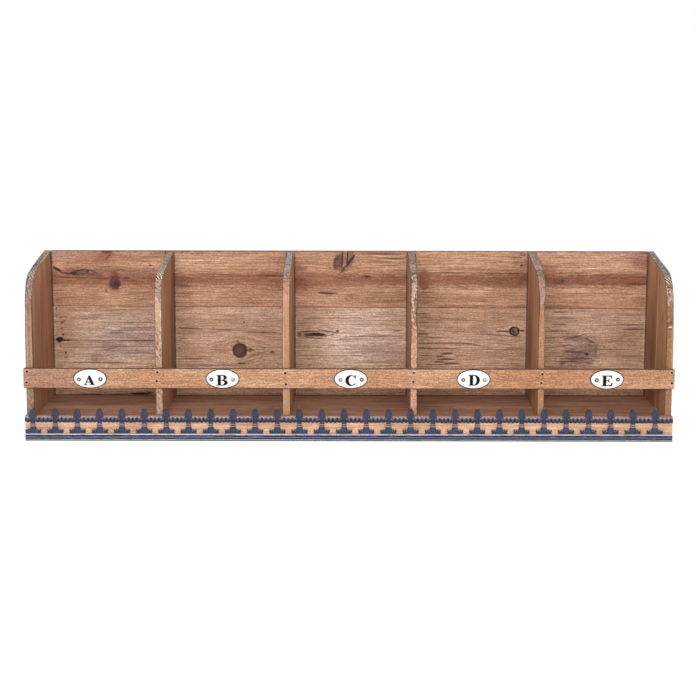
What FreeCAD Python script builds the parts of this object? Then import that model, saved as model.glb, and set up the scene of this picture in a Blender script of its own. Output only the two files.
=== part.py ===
import FreeCAD, Part
import math
import os
from FreeCAD import Vector

# Carcass: a row of compartments between two ends. The row is marked out in equal steps, and each
# divider stands a little to the right of its mark.
compartments = 5
compartment_width = 166.0
end_thickness = 12.0
divider_thickness = 11.0
divider_offset_shares = (0.014, 0.012, 0.009, 0.009)
end_depth = 145.0
back_height = 245.0
top_fall = 19.0
front_corner_radius = 42.0

# Back: two planks inset between the ends, with a seam that runs a little out of level.
back_thickness = 9.0
upper_plank_height = 83.0
seam_gap = 0.8
seam_fall = 3.0

# Floor: a board between the ends, lifted off the bench and hidden by the lip.
floor_lift = 18.0
floor_thickness = 12.0

# Front boards, nailed on to the front edges of the ends and dividers.
front_board_thickness = 8.0
rail_overhang = 1.0
rail_bottom = 74.0
rail_height = 27.5
rail_arris_radius = 1.2
lip_height = 35.2

# Cut brads, square in section, driven flush.
brad_width = 1.8
front_nail_length = 26.0
board_nail_length = 32.0
back_nail_length = 27.0
end_rail_nail_inset = 4.0
rail_nail_shares = (
    ((0.05, 0.85), (-0.05, 0.29)),
    ((0.08, 0.83), (-0.01, 0.38)),
    ((0.05, 0.79), (0.14, 0.22)),
    ((0.08, 0.82), (0.03, 0.36)),
    ((0.14, 0.76), (0.04, 0.31)),
    ((0.07, 0.85), (0.12, 0.30)),
)
end_floor_nail_shares = (0.15, 0.50, 0.85)
end_plank_nail_shares = (0.22, 0.50, 0.78, 0.92)
divider_floor_nail_shares = (0.25, 0.75)
divider_back_nail_shares = (0.26, 0.52, 0.84)

# Cast gallery strip: a reeded moulding that carries a row of fleurs-de-lis.
strip_end_inset = 0.5
fleur_pitch = 30.8
first_fleur_inset = 10.5
moulding_height = 10.4
moulding_relief = 3.0
reed_count = 3
reed_rise = 1.3
reed_facets = 5
crest_height = 47.8
leaf_half_width = 4.9
leaf_relief = 5.2
leaf_edge_relief = 2.8
leaf_foot_share = (0.52, 0.53)
leaf_waist_share = (1.0, 0.78)
leaf_facets = 8
petal_relief = 3.2
petal_root_share = (0.12, 0.54)
petal_underside_shares = ((0.34, 0.595), (0.48, 0.59))
petal_outer_end_share = (0.965, 0.655)
petal_crown_share = (0.56, 0.735)
petal_shoulder_share = (0.14, 0.70)
petal_crown_facets = 4
petal_underside_facets = 2
ball_radius = 4.7
ball_sides = 8
ball_relief = 4.8
ball_crown_share = 0.55
ball_place_share = (0.76, 0.62)
stem_half_width = 3.0
stem_relief = 3.4
collar_half_width = 4.1
collar_height = 4.0
collar_relief = 4.4
collar_place_share = 0.49
foot_half_width = 11.0
foot_slab_height = 2.0
foot_slab_relief = 3.0
foot_hump_share = (0.29, 0.39)
scroll_outer_share = (0.96, 0.27)
scroll_crown_share = (0.76, 0.36)
scroll_inner_share = (0.52, 0.30)
scroll_facets = 2
trim_nail_count = 11
trim_nail_inset = 31.0
trim_nail_length = 15.0
trim_nail_stand = 0.7

# Oval label plates, pressed from sheet and hollow behind, each held by two round-head pins.
plate_length = 46.4
plate_width = 27.5
plate_sides = 20
plate_sheet = 0.8
plate_rim = 0.6
plate_rise = 1.7
plate_crown_share = 0.84
plate_offset_shares = (-0.021, 0.015, 0.015, -0.03, 0.015)
pin_spread = 30.0
pin_width = 1.4
pin_length = 7.0
pin_head_radius = 2.6
pin_head_sides = 8
pin_head_height = 1.4
pin_crown_share = 0.45

# Keyhole hangers, let in flush with the back halfway up the upper plank.
hanger_end_inset = 42.6
hanger_width = 17.0
hanger_length = 46.0
hanger_sheet = 1.5
hanger_pocket_clearance = 0.3
keyhole_radius = 4.5
keyhole_drop = 4.0
keyslot_radius = 2.3
keyslot_rise = 7.0
hanger_corner = 3.0
screw_head_pocket_depth = 4.2
screw_head_pocket_margin = 1.5
hanger_tack_spread = 38.0
hanger_tack_length = 7.0

overrun = 5.0

# Places worked out from the sizes above.
inner_width = compartments * compartment_width + (compartments - 1) * divider_thickness
carcass_width = inner_width + 2 * end_thickness
total_depth = end_depth + front_board_thickness + leaf_relief
front_y = -total_depth / 2 + leaf_relief + front_board_thickness
back_y = front_y + end_depth
inner_depth = end_depth - back_thickness
plank_y = front_y + inner_depth
board_front_y = front_y - front_board_thickness
floor_top = floor_lift + floor_thickness
seam_height = back_height - upper_plank_height
divider_step = compartment_width + divider_thickness
divider_marks = [
    (index - compartments / 2 + 1) * divider_step for index in range(compartments - 1)
]
divider_centres = [
    mark + divider_offset_shares[index % len(divider_offset_shares)] * compartment_width
    for index, mark in enumerate(divider_marks)
]
compartment_centres = [
    (index - (compartments - 1) / 2) * divider_step for index in range(compartments)
]
strip_left = -carcass_width / 2 + strip_end_inset
strip_right = carcass_width / 2 - strip_end_inset
first_fleur = strip_left + first_fleur_inset
fleur_count = int((strip_right - stem_half_width - first_fleur) / fleur_pitch) + 1
fleur_centres = [first_fleur + index * fleur_pitch for index in range(fleur_count)]


def line(start, end):
    return Part.LineSegment(start, end).toShape()


def arc(start, middle, end):
    return Part.Arc(start, middle, end).toShape()


def prism(edges, direction):
    """Extrudes the closed outline that the edges make."""
    return Part.Face(Part.Wire(edges)).extrude(direction)


def polygon_prism(points, direction):
    """Extrudes the closed polygon through the points."""
    return Part.Face(Part.makePolygon(points + points[:1])).extrude(direction)


def box_between(low, high):
    size = high - low
    return Part.makeBox(size.x, size.y, size.z, low)


def square_bar(centre, width, direction, length):
    """A square bar from the centre of one end, along a row axis."""
    half = width / 2
    reach = direction * length
    sides = [abs(half * (1 - abs(part))) for part in direction]
    across = Vector(*sides)
    ends = (centre - across, centre + across, centre + reach - across, centre + reach + across)
    low = Vector(*(min(end[axis] for end in ends) for axis in range(3)))
    high = Vector(*(max(end[axis] for end in ends) for axis in range(3)))
    return box_between(low, high)


def regular_ring(centre, radius, sides, relief):
    """The corners of a regular polygon that stands out from the front boards by relief."""
    turn = 2 * math.pi / sides
    return [
        Vector(
            centre.x + radius * math.cos((index + 1 / 2) * turn),
            centre.y - relief,
            centre.z + radius * math.sin((index + 1 / 2) * turn),
        )
        for index in range(sides)
    ]


def oval_ring(half_length, half_width, sides, relief):
    """Corners on an ellipse round the origin, in the plane that stands out by relief."""
    turn = 2 * math.pi / sides
    return [
        Vector(half_length * math.cos(index * turn), -relief, half_width * math.sin(index * turn))
        for index in range(sides)
    ]


def stacked(rings):
    """A solid through rings of like corners: flat sides between them and a cap at each end."""
    faces = [Part.Face(Part.makePolygon(ring + ring[:1])) for ring in (rings[0], rings[-1])]
    for lower, upper in zip(rings, rings[1:]):
        for index in range(len(lower)):
            after = (index + 1) % len(lower)
            corners = [lower[index], lower[after], upper[after], upper[index]]
            faces.append(Part.Face(Part.makePolygon(corners + corners[:1])))
    solid = Part.Solid(Part.Shell(faces))
    return solid if solid.Volume > 0 else solid.reversed()


def facet_points(start, middle, end, count):
    """Corners of a round stretch: the arc through three points, in count straight facets."""
    return arc(start, middle, end).discretize(count + 1)


def brad(head_centre, direction, length):
    """A square nail whose outer end is at head_centre and whose shank runs along direction."""
    return square_bar(head_centre, brad_width, direction, length)


def drilled(board, fasteners):
    """The board less the space that the fasteners take in it."""
    near = [one for one in fasteners if one.BoundBox.intersect(board.BoundBox)]
    return board.cut(Part.makeCompound(near)).removeSplitter() if near else board


def upright_profile(x, depth):
    """Side outline of an end or divider in the plane x: a top that falls to a rounded front corner."""
    fall = top_fall * depth / end_depth
    slope = math.atan2(top_fall, end_depth)
    tangent = front_corner_radius * math.tan((math.pi / 2 - slope) / 2)
    front_top = back_height - top_fall
    top_back = Vector(x, front_y + depth, front_top + fall)
    arc_back = Vector(x, front_y + tangent * math.cos(slope), front_top + tangent * math.sin(slope))
    arc_front = Vector(x, front_y, front_top - tangent)
    turn_centre = Vector(x, front_y + front_corner_radius, front_top - tangent)
    half_turn = (math.pi / 2 - slope) / 2
    arc_middle = turn_centre + Vector(
        0, -front_corner_radius * math.cos(half_turn), front_corner_radius * math.sin(half_turn)
    )
    return top_back, arc_back, arc_middle, arc_front


def upright(left_x, thickness, depth, bottom):
    """A standing board, cut to its side outline."""
    top_back, arc_back, arc_middle, arc_front = upright_profile(left_x, depth)
    foot_front = Vector(left_x, front_y, bottom)
    foot_back = Vector(left_x, front_y + depth, bottom)
    return prism(
        [
            line(foot_back, top_back),
            line(top_back, arc_back),
            arc(arc_back, arc_middle, arc_front),
            line(arc_front, foot_front),
            line(foot_front, foot_back),
        ],
        Vector(thickness, 0, 0),
    )


def floor_board():
    low = Vector(-inner_width / 2, front_y, floor_lift)
    return box_between(low, Vector(inner_width / 2, plank_y, floor_top))


def seam_points(offset):
    """The seam's two ends on the planks' front face, raised or lowered by offset."""
    left = Vector(-inner_width / 2, plank_y, seam_height + seam_fall / 2 + offset)
    right = Vector(inner_width / 2, plank_y, seam_height - seam_fall / 2 + offset)
    return left, right


def back_plank(lower):
    """One of the two back planks, from the seam to the bottom or to the top."""
    edge_z = 0 if lower else back_height
    left, right = seam_points(-seam_gap / 2 if lower else seam_gap / 2)
    corners = [left, right, Vector(right.x, plank_y, edge_z), Vector(left.x, plank_y, edge_z)]
    return polygon_prism(corners, Vector(0, back_thickness, 0))


def front_board(half_width, bottom, height, rounded_below):
    """A board across the front with its front arrises rounded over."""
    low = Vector(-half_width, board_front_y, bottom)
    board = box_between(low, Vector(half_width, front_y, bottom + height))
    arrises = []
    for edge in board.Edges:
        box = edge.BoundBox
        at_front = box.YMax < board_front_y + rail_arris_radius
        upper = box.ZMin > bottom + height - rail_arris_radius
        below = box.ZMax < bottom + rail_arris_radius
        if at_front and (upper or (below and rounded_below)):
            arrises.append(edge)
    return board.makeFillet(rail_arris_radius, arrises)


def moulding_bar():
    """The strip's base: a bar with half-round reeds along its face."""
    reed = moulding_height / reed_count
    foot_back = Vector(strip_left, board_front_y, 0)
    face = Vector(strip_left, board_front_y - moulding_relief, 0)
    corners = [foot_back, face]
    for index in range(reed_count):
        start = face + Vector(0, 0, index * reed)
        end = start + Vector(0, 0, reed)
        crown = (start + end) / 2 + Vector(0, -reed_rise, 0)
        corners += facet_points(start, crown, end, reed_facets)[1:]
    corners.append(foot_back + Vector(0, 0, moulding_height))
    return polygon_prism(corners, Vector(strip_right - strip_left, 0, 0))


def strip_point(x, share, across, side=1, relief=0):
    """A point of the strip, from its shares of a width and of the crest height."""
    return Vector(x + side * across * share[0], board_front_y - relief, crest_height * share[1])


def leaf(x):
    """The middle leaf: a lancet outline under a ridged roof."""
    tip = Vector(x, board_front_y, crest_height)
    half_facets = leaf_facets // 2
    sides = []
    for side in (1, -1):
        foot_corner = strip_point(x, leaf_foot_share, leaf_half_width, side)
        waist = strip_point(x, leaf_waist_share, leaf_half_width, side)
        sides.append(facet_points(foot_corner, waist, tip, half_facets))
    right, left = sides
    blank = polygon_prism(right + left[-2::-1], Vector(0, -leaf_relief, 0))
    fall = (leaf_relief - leaf_edge_relief) / leaf_half_width
    reach = leaf_half_width + leaf_edge_relief
    eave = leaf_relief - fall * reach
    low = right[0].z
    roof = polygon_prism(
        [
            Vector(x - reach, board_front_y, low),
            Vector(x - reach, board_front_y - eave, low),
            Vector(x, board_front_y - leaf_relief, low),
            Vector(x + reach, board_front_y - eave, low),
            Vector(x + reach, board_front_y, low),
        ],
        Vector(0, 0, crest_height - low),
    )
    return blank.common(roof)


def petal(x, side):
    """A side petal that arches out from under the leaf and curls down into a ball."""
    half_pitch = fleur_pitch / 2

    def point(share):
        return strip_point(x, share, half_pitch, side)

    arch, under_end = (point(share) for share in petal_underside_shares)
    underside = facet_points(point(petal_root_share), arch, under_end, petal_underside_facets)
    outer = point(petal_outer_end_share)
    crown = facet_points(
        outer, point(petal_crown_share), point(petal_shoulder_share), petal_crown_facets
    )
    body = polygon_prism(underside + crown, Vector(0, -petal_relief, 0))
    centre = point(ball_place_share)
    ball = stacked(
        [
            regular_ring(centre, ball_radius, ball_sides, 0),
            regular_ring(centre, ball_radius * ball_crown_share, ball_sides, ball_relief),
        ]
    )
    return body.fuse(ball)


def stem(x):
    """The upright shaft between the moulding and the leaf."""
    return box_between(
        Vector(x - stem_half_width, board_front_y - stem_relief, moulding_height),
        Vector(x + stem_half_width, board_front_y, crest_height * leaf_foot_share[1]),
    )


def collar(x):
    """The band that ties the leaf and petals to the stem."""
    low = crest_height * collar_place_share - collar_height / 2
    return box_between(
        Vector(x - collar_half_width, board_front_y - collar_relief, low),
        Vector(x + collar_half_width, board_front_y, low + collar_height),
    )


def foot(x):
    """The spreading foot: a slab on the moulding that curls up in a scroll each side of the stem."""
    slab_top = moulding_height + foot_slab_height

    def point(share):
        return strip_point(x, share, foot_half_width, -1)

    scroll = facet_points(
        point(scroll_outer_share), point(scroll_crown_share), point(scroll_inner_share), scroll_facets
    )
    left = [
        Vector(x - foot_half_width, board_front_y, moulding_height),
        Vector(x - foot_half_width, board_front_y, slab_top),
        *scroll,
        point(foot_hump_share),
    ]
    right = [Vector(2 * x - corner.x, corner.y, corner.z) for corner in reversed(left)]
    return polygon_prism(left + right, Vector(0, -foot_slab_relief, 0))


def fleur(x):
    """One whole fleur-de-lis."""
    return leaf(x).multiFuse([petal(x, -1), petal(x, 1), stem(x), collar(x), foot(x)])


def fleur_trim():
    """The gallery strip, cut to length through the ornament as it comes from a longer casting."""
    model = fleur(0)
    ornaments = [model.translated(Vector(x, 0, 0)) for x in fleur_centres]
    ornaments.append(petal(fleur_centres[-1] + fleur_pitch, -1))
    length = box_between(
        Vector(strip_left, board_front_y - leaf_relief - overrun, 0),
        Vector(strip_right, board_front_y + overrun, crest_height + overrun),
    )
    ornaments[0] = ornaments[0].common(length)
    ornaments[-1] = ornaments[-1].common(length)
    return moulding_bar().multiFuse(ornaments).removeSplitter()


def label_plate(x, pins):
    """A domed oval of sheet metal, hollow behind and pierced by its two pins."""
    half_length = plate_length / 2
    half_width = plate_width / 2
    outer = stacked(
        [
            oval_ring(half_length, half_width, plate_sides, 0),
            oval_ring(half_length, half_width, plate_sides, plate_rim),
            oval_ring(
                half_length * plate_crown_share, half_width * plate_crown_share, plate_sides, plate_rise
            ),
        ]
    )
    hollow_half_length = half_length - plate_sheet
    hollow_half_width = half_width - plate_sheet
    hollow = stacked(
        [
            oval_ring(hollow_half_length, hollow_half_width, plate_sides, 0),
            oval_ring(
                hollow_half_length * plate_crown_share,
                hollow_half_width * plate_crown_share,
                plate_sides,
                plate_rise - plate_sheet,
            ),
        ]
    )
    place = Vector(x, board_front_y, rail_bottom + rail_height / 2)
    return drilled(outer.cut(hollow).translated(place), pins)


def label_pin(x):
    """A round-head pin through a plate into the rail."""
    seat = Vector(x, board_front_y - plate_rise, rail_bottom + rail_height / 2)
    head = stacked(
        [
            regular_ring(seat, pin_head_radius, pin_head_sides, 0),
            regular_ring(seat, pin_head_radius * pin_crown_share, pin_head_sides, pin_head_height),
        ]
    )
    return head.fuse(square_bar(seat, pin_width, Vector(0, 1, 0), pin_length))


def cornered_bar(width, length, depth, centre):
    """An upright bar with its corners cut off, from the back towards the front."""
    across, along = width / 2, length / 2
    inner_across, inner_along = across - hanger_corner, along - hanger_corner
    places = [
        (across, inner_along), (inner_across, along), (-inner_across, along), (-across, inner_along),
        (-across, -inner_along), (-inner_across, -along), (inner_across, -along), (across, -inner_along),
    ]
    return polygon_prism([centre + Vector(x, 0, z) for x, z in places], Vector(0, -depth, 0))


def keyhole(centre, depth):
    """The round entry hole and the narrow slot that rises from it."""
    entry = centre - Vector(0, 0, keyhole_drop)
    hole = Part.makeCylinder(keyhole_radius, depth, entry, Vector(0, -1, 0))
    top = centre + Vector(0, 0, keyslot_rise)
    slot = box_between(
        Vector(centre.x - keyslot_radius, centre.y - depth, entry.z),
        Vector(centre.x + keyslot_radius, centre.y, top.z),
    )
    slot_end = Part.makeCylinder(keyslot_radius, depth, top, Vector(0, -1, 0))
    return hole.multiFuse([slot, slot_end])


def hanger_tacks(centre):
    """The two tacks that hold a hanger, one above and one below its keyhole."""
    reach = Vector(0, 0, hanger_tack_spread / 2)
    return [
        square_bar(place, brad_width, Vector(0, -1, 0), hanger_tack_length)
        for place in (centre - reach, centre + reach)
    ]


def hanger_plate(centre):
    """A keyhole hanger, pierced by its tacks."""
    plate = cornered_bar(hanger_width, hanger_length, hanger_sheet, centre)
    opening = keyhole(centre + Vector(0, overrun, 0), hanger_sheet + 2 * overrun)
    return drilled(plate.cut(opening), hanger_tacks(centre))


def hanger_pocket(centre):
    """What is cut from the plank: a seat for the hanger and a deeper pocket for the wall screw."""
    width = hanger_width + 2 * hanger_pocket_clearance
    length = hanger_length + 2 * hanger_pocket_clearance
    seat = cornered_bar(width, length, hanger_sheet, centre)
    half_room = keyhole_radius + screw_head_pocket_margin
    room = box_between(
        centre - Vector(half_room, hanger_sheet + screw_head_pocket_depth, keyhole_drop + half_room),
        centre + Vector(half_room, 0, keyslot_rise + half_room),
    )
    return seat.fuse(room)


def rail_nails():
    """Two nails at each end and at each mark, as unevenly placed as a hammer leaves them."""
    outer = carcass_width / 2 - end_rail_nail_inset
    places = [-outer] + divider_marks + [outer]
    nails = []
    for index, x in enumerate(places):
        for across, up in rail_nail_shares[index % len(rail_nail_shares)]:
            place = Vector(x + across * divider_thickness, board_front_y, rail_bottom + up * rail_height)
            nails.append(brad(place, Vector(0, 1, 0), front_nail_length))
    return nails


def lip_nails():
    """Nails through the lip, under the strip: behind the moulding at the ends, behind stems between."""
    ends = [side * (carcass_width - end_thickness) / 2 for side in (-1, 1)]
    places = [Vector(x, board_front_y, moulding_height / 2) for x in ends]
    for x in compartment_centres:
        nearest = min(fleur_centres, key=lambda centre: abs(centre - x))
        places.append(Vector(nearest, board_front_y, floor_lift + floor_thickness / 2))
    return [brad(place, Vector(0, 1, 0), front_nail_length) for place in places]


def trim_nails():
    """Small nails in the groove over the middle reed, through the strip into the lip."""
    span = strip_right - strip_left - 2 * trim_nail_inset
    groove = moulding_height * (reed_count - 1) / reed_count
    outer_y = board_front_y - moulding_relief - trim_nail_stand
    gaps = trim_nail_count - 1
    places = [strip_left + trim_nail_inset + span * index / gaps for index in range(trim_nail_count)]
    return [brad(Vector(x, outer_y, groove), Vector(0, 1, 0), trim_nail_length) for x in places]


def end_nails():
    """Nails through each end into the edges of the floor and of the two back planks."""
    nails = []
    for side in (-1, 1):
        face = side * carcass_width / 2
        inward = Vector(-side, 0, 0)
        for share in end_floor_nail_shares:
            place = Vector(face, front_y + share * inner_depth, floor_lift + floor_thickness / 2)
            nails.append(brad(place, inward, board_nail_length))
        for share in end_plank_nail_shares:
            place = Vector(face, plank_y + back_thickness / 2, share * back_height)
            nails.append(brad(place, inward, board_nail_length))
    return nails


def floor_nails():
    """Nails from below through the floor into each divider."""
    return [
        brad(Vector(x, front_y + share * inner_depth, floor_lift), Vector(0, 0, 1), board_nail_length)
        for x in divider_centres
        for share in divider_floor_nail_shares
    ]


def back_nails():
    """Nails from behind through the planks into the dividers and into the floor's back edge."""
    places = [
        Vector(x, back_y, share * back_height)
        for x in divider_centres
        for share in divider_back_nail_shares
    ]
    middle = floor_lift + floor_thickness / 2
    places += [Vector(x, back_y, middle) for x in compartment_centres]
    return [brad(place, Vector(0, -1, 0), back_nail_length) for place in places]


def build():
    """All nodes by name. Each board is cut by the fasteners that go through it."""
    hanger_x = carcass_width / 2 - hanger_end_inset
    hanger_z = back_height - upper_plank_height / 2
    hangers = [Vector(side * hanger_x, back_y, hanger_z) for side in (-1, 1)]
    plate_xs = [
        centre + plate_offset_shares[index % len(plate_offset_shares)] * compartment_width
        for index, centre in enumerate(compartment_centres)
    ]
    pins = [label_pin(x + side * pin_spread / 2) for x in plate_xs for side in (-1, 1)]
    groups = {
        "label_pins": pins,
        "rail_nails": rail_nails(),
        "lip_nails": lip_nails(),
        "trim_nails": trim_nails(),
        "end_nails": end_nails(),
        "floor_nails": floor_nails(),
        "back_nails": back_nails(),
        "hanger_tacks": [tack for centre in hangers for tack in hanger_tacks(centre)],
    }
    fasteners = [one for group in groups.values() for one in group]

    half = carcass_width / 2
    nodes = {
        "left_end": upright(-half, end_thickness, end_depth, 0),
        "right_end": upright(half - end_thickness, end_thickness, end_depth, 0),
        "floor_board": floor_board(),
        "back_plank_lower": back_plank(True),
        "back_plank_upper": back_plank(False).cut(
            Part.makeCompound([hanger_pocket(centre) for centre in hangers])
        ),
        "front_rail": front_board(half + rail_overhang, rail_bottom, rail_height, True),
        "front_lip": front_board(half, 0, lip_height, False),
        "fleur_trim": fleur_trim(),
    }
    for index, x in enumerate(divider_centres):
        left = x - divider_thickness / 2
        nodes["divider_%d" % (index + 1)] = upright(left, divider_thickness, inner_depth, floor_top)
    nodes = {name: drilled(shape, fasteners) for name, shape in nodes.items()}
    for index, x in enumerate(plate_xs):
        nodes["label_plate_%d" % (index + 1)] = label_plate(x, pins[2 * index : 2 * index + 2])
    for name, centre in zip(("hanger_plate_left", "hanger_plate_right"), hangers):
        nodes[name] = hanger_plate(centre)
    for name, group in groups.items():
        nodes[name] = Part.makeCompound(group)
    return nodes


os.makedirs("parts", exist_ok=True)
for name, shape in build().items():
    shape.exportStep("parts/%s.step" % name)
    print(name, len(shape.Solids), "solids, volume", round(shape.Volume), "mm3, valid", shape.isValid())
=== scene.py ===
import math

import bmesh
import bpy
from mathutils import Matrix, Vector, noise


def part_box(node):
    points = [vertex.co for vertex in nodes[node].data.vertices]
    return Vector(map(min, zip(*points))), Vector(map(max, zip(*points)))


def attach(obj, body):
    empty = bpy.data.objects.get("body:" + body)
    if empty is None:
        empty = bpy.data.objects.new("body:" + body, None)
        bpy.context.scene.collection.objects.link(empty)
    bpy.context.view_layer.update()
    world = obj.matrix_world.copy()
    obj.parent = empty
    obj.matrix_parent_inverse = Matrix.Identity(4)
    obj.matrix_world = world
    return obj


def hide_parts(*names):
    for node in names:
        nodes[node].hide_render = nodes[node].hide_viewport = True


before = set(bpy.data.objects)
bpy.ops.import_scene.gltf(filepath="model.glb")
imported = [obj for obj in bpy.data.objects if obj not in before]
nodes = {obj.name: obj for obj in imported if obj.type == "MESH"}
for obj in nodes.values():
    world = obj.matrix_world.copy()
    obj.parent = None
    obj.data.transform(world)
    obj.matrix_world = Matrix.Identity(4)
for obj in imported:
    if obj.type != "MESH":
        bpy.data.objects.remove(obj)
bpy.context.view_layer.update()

scene = bpy.context.scene


# Sizes in millimetres

MM = 0.001
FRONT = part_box("left_end")[0].y / MM  # where the front edges of the uprights are
EDGE_LENGTH = 400.0  # up the front edge of an upright and back along its top
CREST_HEIGHT = 50.0  # that the casting's tones are spread over
ANY_DEPTH = 1e6  # half size of a mark through the board, so that every depth shows it
FULL = 5000.0  # half length of a patch that runs along a whole board
TOP_FALL, FULL_DEPTH, CORNER = 19.0, 145.0, 42.0  # of an upright: fall of its top, depth, front corner
FADE = 20.0  # how far the carved edges of an upright reach over its sides
CUT_GAP = 1e-4  # points that lie this near a cut are on it, and this near each other are one


# Colours

def tint(red, green, blue):
    """A linear colour from display values of 0 to 255."""
    return tuple((value / 255) ** 2.2 for value in (red, green, blue)) + (1.0,)


PITCH, BARK, UMBER, BROWN = tint(50, 26, 20), tint(74, 43, 34), tint(96, 60, 45), tint(112, 73, 54)
LINE, RUST, SIENNA, TAN = tint(138, 102, 80), tint(148, 92, 68), tint(156, 78, 56), tint(168, 124, 94)
DAMSON, PLUM, ROSE, MAUVE = tint(84, 56, 56), tint(112, 84, 82), tint(168, 116, 104), tint(182, 146, 132)
STRAW, CREAM, INK = tint(224, 188, 158), tint(244, 226, 204), tint(40, 34, 36)
PINK, OCHRE, OLIVE, SLATE = tint(200, 150, 132), tint(186, 152, 112), tint(110, 96, 74), tint(74, 70, 82)


# Node trees

class Graph:
    """Adds nodes to a tree. An input takes a number, a colour, a vector or another node's socket."""

    def __init__(self, tree):
        self.tree = tree

    def node(self, kind, inputs=(), **settings):
        made = self.tree.nodes.new(kind)
        for key, value in settings.items():
            setattr(made, key, value)
        for key, value in dict(inputs).items():
            self.feed(made.inputs[key], value)
        return made

    def feed(self, socket, value):
        if isinstance(value, bpy.types.NodeSocket):
            self.tree.links.new(value, socket)
        else:
            socket.default_value = value

    def effect(self, group, **inputs):
        return self.node("ShaderNodeGroup", inputs, node_tree=group).outputs

    def calc(self, operation, *values, clamp=False):
        return self.node("ShaderNodeMath", enumerate(values), operation=operation, use_clamp=clamp).outputs[0]

    def vector(self, operation, *values):
        made = self.node("ShaderNodeVectorMath", enumerate(values), operation=operation)
        return made.outputs["Value" if operation == "LENGTH" else "Vector"]

    def split(self, place):
        return self.node("ShaderNodeSeparateXYZ", {0: place}).outputs

    def join(self, x, y, z):
        return self.node("ShaderNodeCombineXYZ", {0: x, 1: y, 2: z}).outputs[0]

    def place(self):
        """Object coordinates in millimetres."""
        return self.vector("MULTIPLY", self.node("ShaderNodeTexCoord").outputs["Object"], (1 / MM, 1 / MM, 1 / MM))

    def normal(self):
        return self.split(self.node("ShaderNodeNewGeometry").outputs["Normal"])

    def rise(self, value, start, end, low=0.0, high=1.0):
        """A smooth step from low to high between two values."""
        inputs = {"Value": value, "From Min": start, "From Max": end, "To Min": low, "To Max": high}
        return self.node("ShaderNodeMapRange", inputs, interpolation_type="SMOOTHSTEP").outputs[0]

    def wave(self, turns):
        return self.calc("SINE", self.calc("MULTIPLY", turns, 2 * math.pi))

    def bell(self, value):
        """One at zero, and less the further a value is from it."""
        return self.calc("EXPONENT", self.calc("MULTIPLY", self.calc("MULTIPLY", value, value), -1.0))

    def cloud(self, place, scale, detail=3.0, roughness=0.55):
        """Noise about a middle of one half."""
        inputs = {"Vector": place, "Scale": scale, "Detail": detail, "Roughness": roughness}
        return self.node("ShaderNodeTexNoise", inputs).outputs[0]

    def streaks(self, place, scales, detail=3.0, roughness=0.55):
        """Noise with a scale of its own along each axis."""
        return self.cloud(self.vector("MULTIPLY", place, scales), 1.0, detail, roughness)

    def mix(self, share, first, second, how="MIX"):
        inputs = {0: share, 6: first, 7: second}
        return self.node("ShaderNodeMix", inputs, data_type="RGBA", blend_type=how, clamp_factor=True).outputs[2]

    def shaded(self, colour, tone):
        """A colour times one tone."""
        return self.mix(1.0, colour, self.join(tone, tone, tone), "MULTIPLY")

    def marked(self, colour, place, marks, frayed, inner):
        """A colour with marks on it, which start to fade from their inner share outwards."""
        for across, up, wide, high, turn, shade, strength in marks:
            mask = self.effect(
                MARK, Place=place, Centre=(across, up, 0), Turn=(0, 0, math.radians(turn)),
                Size=(wide, high, ANY_DEPTH), Frayed=frayed, Inner=inner, Strength=strength,
            )["Mask"]
            colour = self.mix(mask, colour, shade)
        return colour

    def ramp(self, way, length, stops):
        """A colour and a share that change along a length by rows of (way, shade, share)."""
        made = self.node("ShaderNodeValToRGB", {0: self.calc("DIVIDE", way, length)})
        row = made.color_ramp.elements
        row.remove(row[1])
        start, shade, share = stops[0]
        row[0].position, row[0].color = start / length, (*shade[:3], share)
        for start, shade, share in stops[1:]:
            row.new(start / length).color = (*shade[:3], share)
        return made.outputs

    def dress(self, shader, colour, roughness, height, relief):
        """Feeds a shader, with a surface that the height roughens by a relief in millimetres."""
        bump = self.node("ShaderNodeBump", {"Strength": 1.0, "Distance": relief * MM, "Height": height})
        for key, value in (("Base Color", colour), ("Roughness", roughness), ("Normal", bump.outputs[0])):
            self.feed(shader.inputs[key], value)


def effect_group(name, places, values, outputs):
    """A node group whose inputs are places and values; returns its graph, its inputs and its end's sockets."""
    tree = bpy.data.node_groups.new(name, "ShaderNodeTree")
    for label in places + values:
        kind = "NodeSocketVector" if label in places else "NodeSocketFloat"
        tree.interface.new_socket(name=label, in_out="INPUT", socket_type=kind)
    for label in outputs:
        kind = "NodeSocketVector" if label in ("Place", "Along") else "NodeSocketFloat"
        tree.interface.new_socket(name=label, in_out="OUTPUT", socket_type=kind)
    graph = Graph(tree)
    return graph, graph.node("NodeGroupInput").outputs, graph.node("NodeGroupOutput").inputs


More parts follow.
